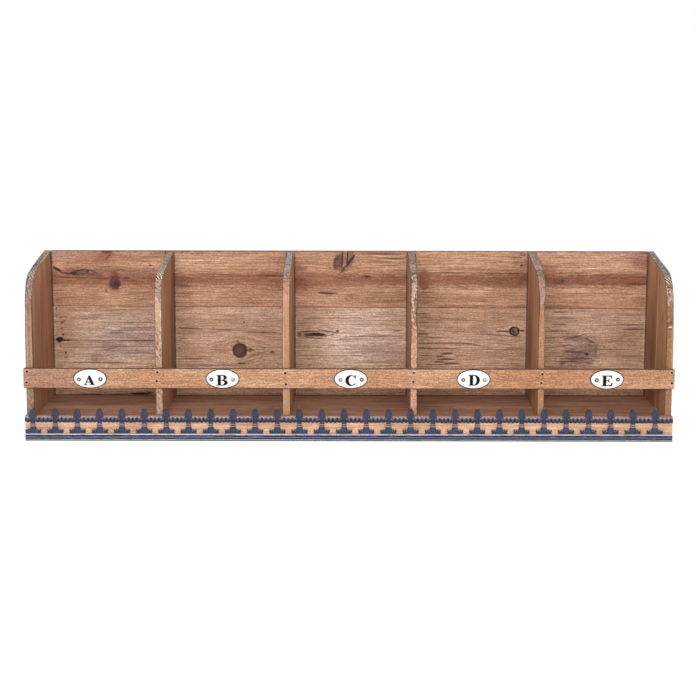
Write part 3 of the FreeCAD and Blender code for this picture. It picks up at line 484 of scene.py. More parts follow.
LOWER_MARKS = (
    # Left bay: a pin knot on a dark line, worm specks and a plum-grey bloom.
    (-361.1, 111.2, 84.3, 0.9, 0, UMBER, 0.64), (-419.4, 111.9, 9.7, 1.7, 0, BARK, 0.92),
    (-434.2, 112.6, 4.8, 1.6, 0, BARK, 0.98), (-427.3, 112.8, 5.2, 4.4, 0, tint(30, 18, 14), 1),
    (-426.2, 110.7, 2.3, 1.7, 0, BARK, 0.8), (-422, 120.6, 1.6, 1.8, 0, PITCH, 1),
    (-423.2, 138.4, 2.5, 2.2, 0, UMBER, 0.8), (-424.7, 146.1, 1.7, 1.6, 0, UMBER, 0.8),
    (-419.1, 93.4, 1.7, 2, 0, BARK, 0.92), (-418.3, 86.3, 1.6, 1.7, 0, UMBER, 0.8),
    (-431.3, 160.1, 1.5, 1.6, 0, UMBER, 0.8), (-424.1, 129.9, 1.3, 1.6, 0, UMBER, 0.8),
    (-420.1, 141.3, 1.3, 1.3, 0, UMBER, 0.8), (-426.9, 103.1, 1.6, 1.7, 0, UMBER, 0.69),
    (-431, 149.7, 1.3, 1.3, 0, UMBER, 0.69), (-307.6, 131, 29.5, 1.2, 2, PLUM, 0.69),
    (-318, 128, 39.3, 0.9, 2, PLUM, 0.55), (-343.2, 123.6, 11.3, 1.3, 0, PLUM, 0.69),
    (-354, 98.8, 12.9, 1.2, 15, PLUM, 0.63), (-309.5, 111.3, 30.9, 1.5, 0, DAMSON, 0.64),
    (-327.4, 102.4, 42.1, 0.9, 0, PLUM, 0.55), (-315.7, 92.8, 33.7, 0.9, 0, PLUM, 0.55),
    (-318.9, 79.8, 32.3, 1.1, 0, STRAW, 0.64), (-339.5, 85.5, 45, 0.8, 0, STRAW, 0.42),
    (-369.2, 78.5, 42.1, 1.2, 0, BROWN, 0.55), (-392.4, 101.2, 33.7, 1.1, 0, BROWN, 0.55),
    (-341.1, 152.4, 42.1, 0.8, 0, LINE, 0.46), (-308.6, 159.6, 25.3, 0.9, 0, STRAW, 0.46),
    (-379.6, 144.7, 39.3, 0.8, 0, LINE, 0.46), (-381, 30.2, 20, 1.2, 0, PITCH, 0.8),
    (-340, 30.8, 16, 1, 1, BARK, 0.8), (-309, 31.4, 17, 2, 0, PITCH, 0.95), (-296, 33.6, 6, 1.2, -8, BARK, 0.9),
    # Second bay: long wavering lines over the large round knot.
    (-232.5, 129.8, 25.3, 1.2, -1.5, UMBER, 0.69), (-182.4, 128, 28.1, 1.1, -2.5, BROWN, 0.6),
    (-127.9, 124.3, 29.5, 1.2, -1, UMBER, 0.64), (-188.6, 97.6, 17.8, 1.2, -3, LINE, 0.69),
    (-134, 92.3, 16.2, 1.3, 14, LINE, 0.69), (-138.4, 101.4, 16.9, 0.9, 10, STRAW, 0.57),
    (-182.8, 89.8, 16.2, 1, -6, STRAW, 0.57), (-146.8, 97.4, 4.8, 3, 0, BROWN, 0.8),
    (-173.2, 102.9, 3.6, 2.6, 30, LINE, 0.57), (-164.9, 110.3, 3.9, 1.2, -30, UMBER, 0.8),
    (-159.2, 77.7, 8, 1.3, 0, BARK, 0.92), (-114.3, 94.4, 4.3, 2.4, 0, BROWN, 0.8),
    (-244.5, 115.2, 8, 1, 0, UMBER, 0.8), (-228.7, 83.9, 30.9, 1.2, 0, BROWN, 0.55),
    (-194.7, 80.1, 42.1, 0.9, -2, STRAW, 0.46), (-155.2, 139.3, 1.6, 1.7, 0, BROWN, 0.8),
    (-135.2, 133.4, 33.7, 0.8, 0, LINE, 0.46), (-198.4, 150.1, 36.5, 0.8, 0, LINE, 0.42),
    (-226.2, 156, 28.1, 0.8, 0, STRAW, 0.37), (-221, 107.1, 30.9, 0.8, -3, LINE, 0.46),
    (-203.6, 74.6, 50.6, 1.5, 0, BROWN, 0.55), (-178, 29.6, 70, 0.9, 0, BARK, 0.56),
    # Middle bay: a long eye in its rings.
    (-52.7, 121.3, 22.5, 5.9, 0, TAN, 0.63), (-60, 125.8, 18.3, 1.1, 3, BROWN, 0.8),
    (-33.5, 126.4, 14.5, 1.2, -10, BROWN, 0.8), (-17.9, 126.3, 2.9, 1.8, 0, UMBER, 0.92),
    (-52.7, 115.6, 21.1, 1.1, -2, BROWN, 0.69), (-26.1, 121.1, 11.3, 1, 18, BROWN, 0.69),
    (-74.1, 121, 3.2, 5, 0, BROWN, 0.69), (-63, 117.7, 11.3, 1.3, -8, UMBER, 0.57),
    (-51.9, 121.3, 17.5, 2.6, 0, PITCH, 1), (-40.9, 120.7, 6.4, 1.8, 3, PITCH, 1),
    (-60, 121.9, 6.4, 1.2, 0, BROWN, 0.69), (34.4, 118.5, 50.6, 1.1, 1, BROWN, 0.64),
    (0.5, 104.6, 42.1, 0.9, 0, LINE, 0.5), (-73.4, 102.9, 19.7, 0.9, 0, LINE, 0.57),
    (32.9, 102.5, 42.1, 0.8, 0, LINE, 0.46), (53.7, 95, 39.3, 16.9, 0, MAUVE, 0.42),
    (-58.5, 138.4, 36.5, 0.8, 0, LINE, 0.46), (-14.3, 145.4, 56.2, 0.8, 0, LINE, 0.42),
    (9.3, 136.3, 47.8, 0.8, 0, LINE, 0.46), (-29.1, 89.6, 56.2, 0.9, 0, LINE, 0.46),
    (50.8, 80.7, 33.7, 0.9, 0, LINE, 0.46), (-46.8, 80.4, 36.5, 0.8, 0, STRAW, 0.37),
    (69.7, 126.6, 6.4, 1.2, 0, BROWN, 0.69), (0, 29.6, 78, 0.9, 0, BARK, 0.48),
    # Fourth bay: a ring knot with long whiskers, rungs and crackled grain.
    (226, 126.3, 12.9, 1.2, 0, UMBER, 0.98), (255.5, 127.3, 7.2, 1.3, 0, UMBER, 0.98),
    (198, 126, 19.7, 0.8, 0, LINE, 0.57), (243, 126.7, 7.9, 6.7, 0, LINE, 1), (242.4, 132.4, 5.2, 1.3, 8, PITCH, 1),
    (243.2, 121, 5.2, 1.3, -6, PITCH, 1), (236.9, 126.5, 1.5, 5, 0, PITCH, 1), (249, 126.7, 1.5, 5, 0, PITCH, 1),
    (238.3, 130.6, 2.4, 1.3, 42, PITCH, 1), (247.6, 130.9, 2.4, 1.3, -42, PITCH, 1),
    (238.6, 122.6, 2.4, 1.3, -42, PITCH, 1), (247.6, 122.5, 2.4, 1.3, 42, PITCH, 1),
    (242.2, 127, 2.4, 2.5, 0, PITCH, 0.98), (243.1, 127.1, 0.9, 1, 0, TAN, 0.92),
    (252.5, 132.1, 5.6, 1, -28, STRAW, 0.8), (234.2, 132.7, 4.8, 0.8, 28, STRAW, 0.69),
    (221.7, 120.3, 39.3, 1.1, -4, BROWN, 0.64), (177.4, 124.8, 42.1, 0.9, -2, LINE, 0.5),
    (146.6, 108.5, 39.3, 1.6, 0, BROWN, 0.64), (183.5, 106.1, 21.1, 1.2, -8, BROWN, 0.69),
    (133.4, 100.6, 33.7, 1.1, 0, UMBER, 0.6), (127.3, 117, 16.9, 1.1, 0, BROWN, 0.63),
    (108.1, 122.2, 9.7, 1.6, 0, BARK, 0.64), (109.7, 107.8, 11.3, 1.6, 0, BARK, 0.6),
    (109.7, 101.2, 11.3, 1.3, 0, BARK, 0.56), (109.3, 152.8, 9.7, 1.2, 0, UMBER, 0.48),
    (109.4, 147.3, 9.7, 1.2, 0, UMBER, 0.48), (109.6, 113.2, 8.9, 1, 0, UMBER, 0.48),
    (112.8, 89.7, 11.3, 1.2, 0, UMBER, 0.48), (109.4, 140.2, 9.7, 1.2, 0, BROWN, 0.4),
    (143.8, 92.5, 9.7, 1.6, 2, BARK, 0.83), (135, 88.3, 8, 1.3, 0, BARK, 0.78),
    (142.4, 84.2, 14.5, 1.7, 0, BARK, 0.85), (133.6, 80.1, 9.7, 1.3, 0, BARK, 0.78),
    (151.3, 77.7, 14.5, 1.6, 0, BARK, 0.78), (146.8, 89.8, 11.3, 1.2, 0, STRAW, 0.92),
    (148.3, 81.8, 12.9, 1.2, 0, STRAW, 0.86), (130.6, 85.8, 8, 1, 0, STRAW, 0.69),
    (154.3, 75.6, 11.3, 1, 0, STRAW, 0.69), (127.7, 76.2, 16.9, 1.2, 0, UMBER, 0.59),
    (189.5, 98.3, 12.9, 1, 0, LINE, 0.57), (203.7, 142.6, 47.8, 0.8, 0, LINE, 0.46),
    (147.7, 143.3, 33.7, 0.8, 0, LINE, 0.46), (158.4, 146.3, 0.8, 25.3, 0, LINE, 0.46),
    (221.2, 150.9, 36.5, 0.8, 0, LINE, 0.37), (259, 34.6, 4.2, 2.4, 20, CREAM, 1),
    (180, 29.6, 70, 0.9, 0, BARK, 0.48),
    # Right bay: a grey-plum stain with a black pin knot, and torn grain beside the divider.
    (330.9, 117.8, 18.3, 1.1, 14, DAMSON, 0.86), (354.6, 112.9, 9.7, 1.2, -30, DAMSON, 0.75),
    (363.8, 100.2, 1.5, 10.1, 0, BROWN, 0.57), (328.4, 95.6, 19.7, 1.1, 0, DAMSON, 0.75),
    (337.5, 85.9, 25.3, 1.2, 0, DAMSON, 0.64), (319.9, 81.2, 16.9, 1.2, 0, DAMSON, 0.75),
    (310.5, 103.8, 16.9, 0.9, 6, BROWN, 0.69), (350.7, 92.3, 2.4, 2.6, 0, PITCH, 1),
    (315.5, 78.2, 4.8, 3, 0, PLUM, 0.69), (307.7, 169.3, 14.5, 1.3, 0, UMBER, 0.56),
    (310.8, 162.1, 12.9, 1.2, 0, UMBER, 0.49), (312.4, 155.3, 12.9, 1.3, 0, UMBER, 0.56),
    (317, 145.4, 16.2, 1.2, 0, UMBER, 0.52), (309.8, 136.9, 14.5, 1.3, 0, BARK, 0.56),
    (307.1, 127.1, 14.5, 1.2, 0, UMBER, 0.52), (319.5, 165.8, 12.9, 0.8, 0, STRAW, 0.57),
    (314, 150.5, 12.9, 0.8, 0, STRAW, 0.57), (321.7, 131.6, 14.5, 1, 0, STRAW, 0.57),
    (326.4, 173.5, 0.8, 28.1, 0, BROWN, 0.52), (413, 136.8, 25.3, 1.2, 0, BROWN, 0.64),
    (419.1, 129.7, 18.3, 1.2, 0, UMBER, 0.8), (374.7, 135.3, 19.7, 0.9, 0, LINE, 0.57),
    (387.4, 99.6, 45, 0.9, 0, LINE, 0.55), (398.9, 111.8, 36.5, 0.8, 0, LINE, 0.46),
    (392, 151.2, 42.1, 0.8, 0, LINE, 0.46), (408.4, 88.2, 30.9, 0.9, 0, LINE, 0.46),
)

# Nails of the rail, from left to right: place, then the shift across and the share of the height of two nails.
RAIL_NAILS = (
    (-445.0, (0.5, 0.85), (-0.5, 0.29)), (-265.5, (0.9, 0.83), (-0.1, 0.38)), (-88.5, (0.5, 0.79), (1.5, 0.22)),
    (88.5, (0.9, 0.82), (0.3, 0.36)), (265.5, (1.5, 0.76), (0.4, 0.31)), (445.0, (0.8, 0.85), (1.3, 0.30)),
)
SPLITS = [sum(corner.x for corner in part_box("divider_%d" % number)) / 2 / MM for number in (1, 2, 3, 4)]
BAYS = list(zip([-FULL] + SPLITS, SPLITS + [FULL]))


def corner_shade_lines():
    """A dark line of painted shade in the corner where each upright meets the planks, and a pale line beside it."""
    rows = []
    for side in (-1, 1):
        for split in SPLITS:
            rows.append((split + side * 6.2, 130, 1.1, 160, 0, BARK, 0.75))
            rows.append((split + side * 8.3, 90, 1, 78, 0, STRAW, 0.55))
        rows.append((side * 436.2, 130, 1.1, 160, 0, BARK, 0.75))
        rows.append((side * 434.2, 100, 1, 90, 0, STRAW, 0.55))
    return tuple(rows)


def rail_nail_holes():
    """A dark hole with a light, bruised ring round each nail of the rail."""
    low, high = (corner.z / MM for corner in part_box("front_rail"))
    rows = []
    for place, *pair in RAIL_NAILS:
        for shift, share in pair:
            across, up = place + shift, low + share * (high - low)
            rows.append((across, up + 0.5, 3.2, 2.8, 0, STRAW, 0.55))
            rows.append((across, up, 2, 1.8, 0, tint(24, 16, 14), 1))
    return tuple(rows)


def within(rows, bay, reach):
    """The rows that can be seen in a bay, when each shows as far as a number of its own half widths."""
    return [row for row in rows if bay[0] < row[0] + row[2] * reach and row[0] - row[2] * reach < bay[1]]


def bay_woods(name, *look, pitch, knots, patches, marks):
    """One finish for each bay of a back plank, and a plain one behind. The grain runs on from bay to bay."""
    rows = [
        wood(
            "%s, bay %d" % (name, number), "x standing", *look, pitch=pitch, lines=0.62, fibres=0.34, specks=0.42,
            knots=within(knots, bay, 4), patches=within(patches, bay, 4), marks=within(marks, bay, 1),
        )
        for number, bay in enumerate(BAYS, 1)
    ]
    behind = wood(
        name + ", behind", "x standing", *look, pitch=pitch, lines=0.6, fibres=0.34, specks=0.3, knots=knots
    )
    return rows + [behind]


back_upper = bay_woods(
    "Upper back board", (310.0, 40.0, 0.0), tint(214, 166, 134), tint(194, 144, 112), tint(134, 88, 64), pitch=3.8,
    knots=UPPER_KNOTS, patches=UPPER_PATCHES, marks=UPPER_MARKS + corner_shade_lines(),
)
back_lower = bay_woods(
    "Lower back board", (90.0, 700.0, 0.0), tint(220, 180, 152), tint(202, 160, 130), tint(146, 106, 82), pitch=3.4,
    knots=LOWER_KNOTS, patches=LOWER_PATCHES, marks=LOWER_MARKS + corner_shade_lines(),
)
# The dark band along the back of the floor board is painted shade where it meets the back plank.
floor_wood = wood(
    "Floor board", "x lying", (40.0, 300.0, 0.0), tint(188, 146, 122), tint(160, 118, 96), tint(96, 64, 48),
    pitch=7.0, patches=((0, 68, FULL, 8, 0, tint(84, 54, 42), 0.8),),
)
# The dark lines along the rail's top and bottom arrises are painted shade, with some dirt.
rail_wood = wood(
    "Front rail wood", "x standing", (610.0, 90.0, 0.0), tint(208, 160, 126), tint(190, 140, 108), tint(150, 98, 74),
    pitch=3.6, lines=0.35, fibres=0.33, specks=0.54, marks=rail_nail_holes(),
    patches=((-420, 88, 130, 40, 0, tint(170, 126, 106), 0.7), (260, 88, 150, 40, 0, tint(184, 128, 92), 0.75),
             (0, 101.6, FULL, 0.9, 0, PITCH, 0.7), (0, 74.2, FULL, 0.8, 0, tint(96, 58, 44), 0.6)),
)
lip_wood = wood(
    "Lip wood", "x standing", (870.0, 10.0, 0.0), tint(234, 187, 154), tint(214, 166, 132), tint(168, 120, 96),
    pitch=5.0, lines=0.5, fibres=0.3, specks=0.25, patches=((0, 36, FULL, 3.4, 0, tint(160, 106, 90), 0.9),),
)

# Edges of the uprights, from the foot up the front and back over the top: way along, shade and raggedness.
EDGE_SHADES = {
    "left_end": (
        (0, tint(142, 110, 87), 0.15), (150, tint(148, 114, 92), 0.12), (190, tint(143, 112, 96), 0.15),
        (205, tint(151, 125, 118), 0.4), (225, tint(160, 136, 125), 0.4), (240, tint(157, 134, 121), 0.3),
        (256, tint(134, 111, 100), 0.2), (270, tint(151, 143, 121), 0.25), (300, tint(130, 116, 114), 0.45),
        (340, tint(148, 125, 106), 0.45), (385, tint(165, 143, 125), 0.3),
    ),
    "divider_1": (
        (0, tint(196, 155, 126), 0.3), (120, tint(196, 155, 126), 0.45), (163, tint(202, 163, 132), 0.4),
        (176, tint(206, 166, 135), 0.08), (188, tint(204, 165, 134), 0.08), (197, tint(194, 155, 139), 0.45),
        (215, tint(191, 153, 134), 0.6), (235, tint(196, 159, 134), 0.5), (255, tint(174, 140, 115), 0.15),
        (268, tint(169, 134, 113), 0.2), (280, tint(171, 153, 130), 0.35), (320, tint(149, 127, 104), 0.55),
        (345, tint(152, 130, 104), 0.4), (385, tint(169, 138, 106), 0.3),
    ),
    "divider_2": (
        (0, tint(181, 138, 110), 0.1), (150, tint(183, 138, 104), 0.05), (185, tint(184, 142, 111), 0.05),
        (200, tint(194, 144, 122), 0.05), (222, tint(188, 139, 115), 0.15), (234, tint(190, 136, 110), 0.35),
        (250, tint(171, 130, 114), 0.45), (268, tint(171, 139, 125), 0.55), (282, tint(193, 172, 160), 0.5),
        (296, tint(175, 158, 148), 0.35), (320, tint(154, 143, 144), 0.25), (355, tint(158, 147, 144), 0.3),
        (385, tint(203, 160, 144), 0.3),
    ),
    "divider_3": (
        (0, tint(212, 159, 129), 0.26), (130, tint(208, 157, 129), 0.36), (170, tint(189, 139, 109), 0.45),
        (190, tint(176, 131, 110), 0.49), (200, tint(206, 167, 154), 0.6), (225, tint(208, 173, 161), 0.7),
        (238, tint(186, 148, 134), 0.8), (250, tint(119, 86, 67), 0.6), (262, tint(136, 103, 83), 0.6),
        (275, tint(155, 135, 119), 0.4), (290, tint(170, 142, 127), 0.5), (302, tint(183, 155, 141), 0.6),
        (316, tint(136, 108, 102), 0.5), (335, tint(141, 110, 101), 0.3), (385, tint(155, 122, 106), 0.2),
    ),
    "divider_4": (
        (0, tint(176, 128, 95), 0.1), (150, tint(178, 127, 90), 0.1), (175, tint(178, 125, 86), 0.15),
        (188, tint(174, 127, 92), 0.1), (193, tint(183, 143, 121), 0.1), (205, tint(176, 137, 123), 0.08),
        (218, tint(174, 132, 113), 0.2), (238, tint(169, 128, 106), 0.25), (256, tint(151, 114, 93), 0.4),
        (275, tint(127, 99, 79), 0.5), (288, tint(176, 148, 128), 0.2), (300, tint(169, 143, 123), 0.2),
        (312, tint(134, 118, 111), 0.3), (345, tint(134, 118, 111), 0.3), (385, tint(157, 136, 120), 0.2),
    ),
    "right_end": (
        (0, tint(157, 115, 79), 0.1), (145, tint(153, 112, 73), 0.1), (160, tint(146, 104, 68), 0.1),
        (169, tint(134, 86, 63), 0.3), (178, tint(146, 104, 65), 0.08), (190, tint(148, 106, 68), 0.15),
        (196, tint(177, 140, 125), 0.45), (216, tint(183, 149, 136), 0.5), (224, tint(167, 127, 107), 0.7),
        (240, tint(132, 93, 70), 0.8), (252, tint(132, 110, 103), 0.6), (262, tint(106, 99, 97), 0.3),
        (280, tint(120, 112, 107), 0.3), (302, tint(132, 115, 105), 0.4), (330, tint(132, 113, 100), 0.6),
        (385, tint(143, 124, 112), 0.4),
    ),
}
# Marks on those edges, with the way along in place of the height.
EDGE_MARKS = {
    "left_end": (
        (-446.4, 285, 1.6, 95, 0, SLATE, 0.9), (-439.6, 345, 0.8, 42, 0, CREAM, 0.9),
        (-444, 213, 2.5, 6, 0, PLUM, 0.6), (-444.8, 120, 2, 78, 0, PINK, 0.6), (-439.8, 120, 1.8, 78, 0, OCHRE, 0.6),
        (-443, 150, 0.8, 26, 0, RUST, 0.7),
    ),
    "divider_1": (
        (-267.5, 318, 1.2, 26, 0, tint(208, 194, 164), 0.7), (-262.6, 328, 3.4, 2.4, 24, OLIVE, 0.8),
        (-263.4, 318, 3, 2, 24, OLIVE, 0.7), (-261.6, 338, 3, 2.2, 24, OLIVE, 0.6),
        (-261, 262, 1.6, 14, 0, MAUVE, 0.6), (-260, 176, 0.9, 7, 0, CREAM, 0.6),
        (-267.6, 170, 0.8, 20, 0, OLIVE, 0.4),
    ),
    "divider_2": (
        (-86.8, 306, 4.2, 5.4, 0, tint(92, 84, 86), 0.85), (-90.4, 284, 1.2, 3.4, 0, CREAM, 0.95),
        (-86, 292, 2.2, 4, 0, STRAW, 0.6), (-91, 110, 0.9, 105, 0, tint(232, 192, 164), 0.65),
        (-87.2, 212.5, 10, 0.8, -66, RUST, 0.7), (-86.6, 236, 2.4, 2.6, 0, BROWN, 0.7),
        (-85, 330, 3, 9, 0, tint(124, 118, 122), 0.5),
    ),
    "divider_3": (
        (85.9, 214, 1, 34, 0, PITCH, 0.9), (94.2, 214, 1, 16, 0, PITCH, 0.9), (93, 180, 1.2, 26, 0, UMBER, 0.7),
        (86.4, 160, 0.9, 30, 0, BARK, 0.7), (88.4, 249, 1.7, 5.5, -20, CREAM, 0.95),
        (92.4, 241, 1.2, 4.5, -15, CREAM, 0.9), (88.4, 263, 3.6, 3, 20, BARK, 0.8),
        (90.6, 255, 1, 8, -30, PITCH, 0.8), (87, 238, 1.2, 8, 10, INK, 0.8), (88, 196, 0.8, 7, 0, CREAM, 0.9),
        (91.6, 200, 0.9, 6.5, 0, BARK, 0.8), (89.8, 303, 1.6, 3, 0, CREAM, 0.9), (90.4, 316, 2.2, 4, 0, DAMSON, 0.6),
    ),
    "divider_4": (
        (263, 332, 0.9, 50, 0, tint(206, 166, 142), 0.75), (271.2, 332, 0.8, 40, 0, tint(196, 166, 140), 0.5),
        (270, 343, 1.8, 5, 0, OLIVE, 0.6), (262.6, 195, 0.9, 26, 0, PITCH, 0.85), (267, 272, 1, 6, 0, BARK, 0.8),
        (265.5, 268, 1, 4, 0, BARK, 0.7), (266, 162, 3, 7, 0, tint(186, 120, 80), 0.6),
        (268.6, 148, 2, 6, 0, RUST, 0.4), (264.6, 172, 1.2, 9, 0, RUST, 0.4), (266.5, 222, 4, 0.9, 0, BROWN, 0.5),
        (266, 207, 2.6, 8, 0, ROSE, 0.35),
    ),
    "right_end": (
        (443.4, 159.8, 2.8, 1, 8, tint(252, 220, 202), 1), (439.8, 161, 0.9, 1.6, 0, PITCH, 0.8),
        (443.2, 157, 3, 0.7, 6, BARK, 0.6), (443, 167, 4, 3.4, 0, SIENNA, 0.4), (440.2, 245, 1.5, 4, 0, CREAM, 0.95),
        (444.2, 244, 1.6, 4.5, -18, CREAM, 0.9), (442.4, 232, 2.2, 4.5, -18, STRAW, 0.8),
        (441.8, 240, 0.7, 7, -28, INK, 0.85), (445, 236, 0.7, 6, -28, INK, 0.8), (446.6, 236, 1.1, 24, 0, INK, 0.95),
        (438.8, 240, 1, 20, 0, INK, 0.9), (446.6, 120, 0.7, 62, 0, tint(214, 160, 112), 0.6),
        (447, 320, 1, 60, 0, SLATE, 0.7), (441, 346, 1.6, 5, 0, CREAM, 0.7),
        (441.5, 274, 2.6, 8, 0, tint(178, 176, 154), 0.6),
    ),
}
# Marks on the uprights' broad faces: height and depth of the centre, half sizes, turn, shade and strength.
FACE_MARKS = {
    "left_end": (
        (160, -9, 52, 2.2, 0, UMBER, 0.7), (225, -26, 26, 9, 0, tint(196, 128, 84), 0.5),
        (130, -47, 160, 13, 0, TAN, 0.35), (120, 22, 90, 1.6, 0, UMBER, 0.35),
    ),
    "divider_1": (
        (200, -58, 40, 6, 0, TAN, 0.4), (205, -10, 32, 10, 0, tint(178, 134, 76), 0.5),
        (130, 52, 160, 16, 0, BARK, 0.45),
    ),
    "divider_2": (),
    "divider_3": (),
    "divider_4": (
        (190, -52, 55, 12, 0, TAN, 0.35), (200, 10, 60, 1.6, 0, UMBER, 0.3), (190, -20, 60, 1.4, 0, UMBER, 0.3),
        (95, 40, 90, 30, 0, BARK, 0.3),
    ),
    "right_end": (
        (150, -7, 100, 3.2, 0, tint(226, 170, 126), 0.7), (214, -18, 6, 1.6, 0, PITCH, 0.9),
        (168, -43, 10, 1.4, 3, PITCH, 0.85), (190, -30, 40, 8, 0, tint(178, 136, 84), 0.4),
        (95, 34, 90, 34, 0, BARK, 0.35), (180, -22, 45, 1, 0, UMBER, 0.5),
    ),
}
# How far the left and the right side of an upright are carved away: way along its edge, left and right.
CARVED = {
    "left_end": ((0, 0.8, 0.3), (145, 1.1, 0.3), (180, 2, 0), (215, 2.1, 0), (240, 1.2, 0.2), (275, 0.9, 0.7),
                 (302, 0.1, 1.6), (400, 0, 1.7)),
    "divider_1": ((0, 0.2, 0.7), (200, 0.2, 0.7), (225, 0, 1.1), (238, 0, 1.5), (252, 0, 0.6), (275, 0, 0),
                  (400, 0.2, 0)),
    "divider_2": ((0, 0, 0.6), (145, 0, 0.7), (200, 0.3, 0.9), (226, 0, 0.9), (276, 0, 0.7), (304, 0, 1),
                  (333, 0, 1.4), (400, 0, 1.7)),
    "divider_3": ((0, 0.4, 0.7), (150, 0.4, 0.8), (169, 0.2, 1.6), (183, 0.1, 2.4), (198, 0, 1.1), (216, 0, 0.4),
                  (254, 0, 1), (277, 0, 0.3), (400, 0, 0.1)),
    "divider_4": ((0, 0.1, 1.5), (156, 0, 1.8), (177, 0, 2.9), (184, 0.2, 3.7), (191, 0.5, 4.1), (198, 0, 2.5),
                  (207, 0, 1), (239, 0, 1), (255, 0, 1.2), (278, 0, 0), (400, 0, 0.1)),
    "right_end": ((0, 1.6, 0.4), (146, 1.9, 0.5), (170, 1.4, 1), (184, 0.9, 1.4), (199, 0.2, 1.7), (228, 0.1, 1.6),
                  (255, 0.1, 1.2), (280, 0.2, 0.5), (308, 0, 1.1), (337, 0, 1.7), (400, 0, 1.9)),
}


def upright_wood(name, node, offset, rings, ring_strength):
    """Smooth brown faces with upright grain, and an edge that weathered towards the top, with rings in one place."""
    return wood(
        name, "z", offset, tint(190, 140, 106), tint(160, 112, 82), tint(112, 72, 50), pitch=13.0, lines=0.35,
        fibres=0.14, specks=0.08, edge=(EDGE_SHADES[node], rings, ring_strength, EDGE_MARKS[node]), relief=0.3,
        marks=FACE_MARKS[node],
        # Painted shade darkens the back of each broad face where it meets the planks, a lighter olive band runs along
        # the front, and a dark line of painted shade runs beside the front arris.
        patches=((120, 70, 400, 5, 0, tint(96, 60, 44), 0.8), (150, -48, 400, 20, 0, tint(186, 146, 102), 0.45),
                 (120, -65, 400, 2, 0, BARK, 0.6)),
    )


upright_woods = {
    "left_end": upright_wood("Left end wood", "left_end", (0.0, 60.0, 30.0), 256.0, 1.0),
    "divider_1": upright_wood("First divider wood", "divider_1", (200.0, 5.0, 80.0), 250.0, 1.5),
    "divider_2": upright_wood("Second divider wood", "divider_2", (410.0, 95.0, 10.0), 240.0, 0.15),
    "divider_3": upright_wood("Third divider wood", "divider_3", (620.0, 20.0, 50.0), 248.0, 0.4),
    "divider_4": upright_wood("Fourth divider wood", "divider_4", (830.0, 44.0, 0.0), 240.0, 0.1),
    "right_end": upright_wood("Right end wood", "right_end", (990.0, 70.0, 65.0), 244.0, 1.3),
}
casting = cast_metal()
white_enamel = enamel("White enamel", (0.8, 0.795, 0.785, 1.0), (0.62, 0.58, 0.52, 1.0), 0.25)
black_enamel = enamel("Black enamel", (0.004, 0.004, 0.005, 1.0), (0.016, 0.014, 0.013, 1.0), 0.3, coat=0.0, gloss=0.12)
pin_steel = metal("Dull pin steel", (0.62, 0.6, 0.57, 1.0), (0.4, 0.36, 0.31, 1.0), 0.28, 0.45)
# The dark ring is tarnish in the groove and painted shade round the head's skirt.
pin_rings = [
    metal("Dark pin ring", tint(84, 74, 66), tint(60, 50, 44), 0.5, 0.7, metallic=0.3),
    metal("Brown pin ring", tint(134, 104, 84), tint(110, 84, 66), 0.5, 0.7, metallic=0.3),
    metal("Pale pin ring", tint(170, 164, 160), tint(150, 138, 128), 0.4, 0.6, metallic=0.3),
]
nail_iron = metal(
    "Nail iron", (0.008, 0.005, 0.004, 1.0), (0.034, 0.016, 0.011, 1.0), 0.7, 0.9, metallic=0.0, gloss=0.06
)
zinc = metal("Zinc plate", (0.66, 0.66, 0.67, 1.0), (0.5, 0.5, 0.5, 1.0), 0.3, 0.42, scale=0.12)

# Nodes that are shown as they came, with another material
CARRIED_OVER = {
    "floor_board": floor_wood, "rail_nails": nail_iron, "lip_nails": nail_iron, "end_nails": nail_iron,
    "floor_nails": nail_iron, "back_nails": nail_iron, "hanger_tacks": nail_iron, "trim_nails": casting,
    "hanger_plate_left": zinc, "hanger_plate_right": zinc,
}
for node, material in CARRIED_OVER.items():
    slots = nodes[node].data.materials
    slots.clear()
    slots.append(material)


# Shapes

def shown(name, mesh):
    """A new object in the scene."""
    made = bpy.data.objects.new(name, mesh)
    scene.collection.objects.link(made)
    return made


def mesh_from(form, name):
    mesh = bpy.data.meshes.new(name)
    form.to_mesh(mesh)
    form.free()
    return mesh


def resized(form, factor):
    bmesh.ops.scale(form, vec=(factor, factor, factor), verts=form.verts)


def upended(form, verts):
    """Turns what lies flat up, so that it faces the front."""
    bmesh.ops.rotate(form, cent=(0, 0, 0), matrix=Matrix.Rotation(math.pi / 2, 3, "X"), verts=verts)


def finished(name, form, materials, slot, *stands_for, smooth=35.0):
    """Turns a form in millimetres into a piece of the organizer."""
    resized(form, MM)
    bmesh.ops.recalc_face_normals(form, faces=form.faces)
    mesh = mesh_from(form, name)
    for material in materials:
        mesh.materials.append(material)
    mesh.polygons.foreach_set("use_smooth", [True] * len(mesh.polygons))
    mesh.set_sharp_from_angle(angle=math.radians(smooth))
    piece = shown(name, mesh)
    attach(piece, "root")
    if stands_for:
        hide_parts(*stands_for)


def limits(node):
    """A node's lowest and highest corner."""
    low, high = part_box(node)
    return low / MM, high / MM


def only(kind, parts):
    return [part for part in parts if isinstance(part, kind)]


def cut_across(form, place, direction, **settings):
    """Cuts all of a form by a plane."""
    everything = form.verts[:] + form.edges[:] + form.faces[:]
    return bmesh.ops.bisect_plane(
        form, geom=everything, plane_co=place, plane_no=direction, dist=CUT_GAP, **settings
    )["geom_cut"]


def eased(form, edges, offset, segments):
    bmesh.ops.bevel(form, geom=edges, offset=offset, segments=segments, profile=0.5, affect="EDGES", material=-1)


def sliced(form, axis, start, end, step):
    """Cuts the form across at even steps, so that its surface can be worn."""
    count = max(1, int((end - start) / step))
    direction = Vector([1.0 if index == axis else 0.0 for index in range(3)])
    for index in range(1, count):
        cut_across(form, direction * (start + (end - start) * index / count), direction)


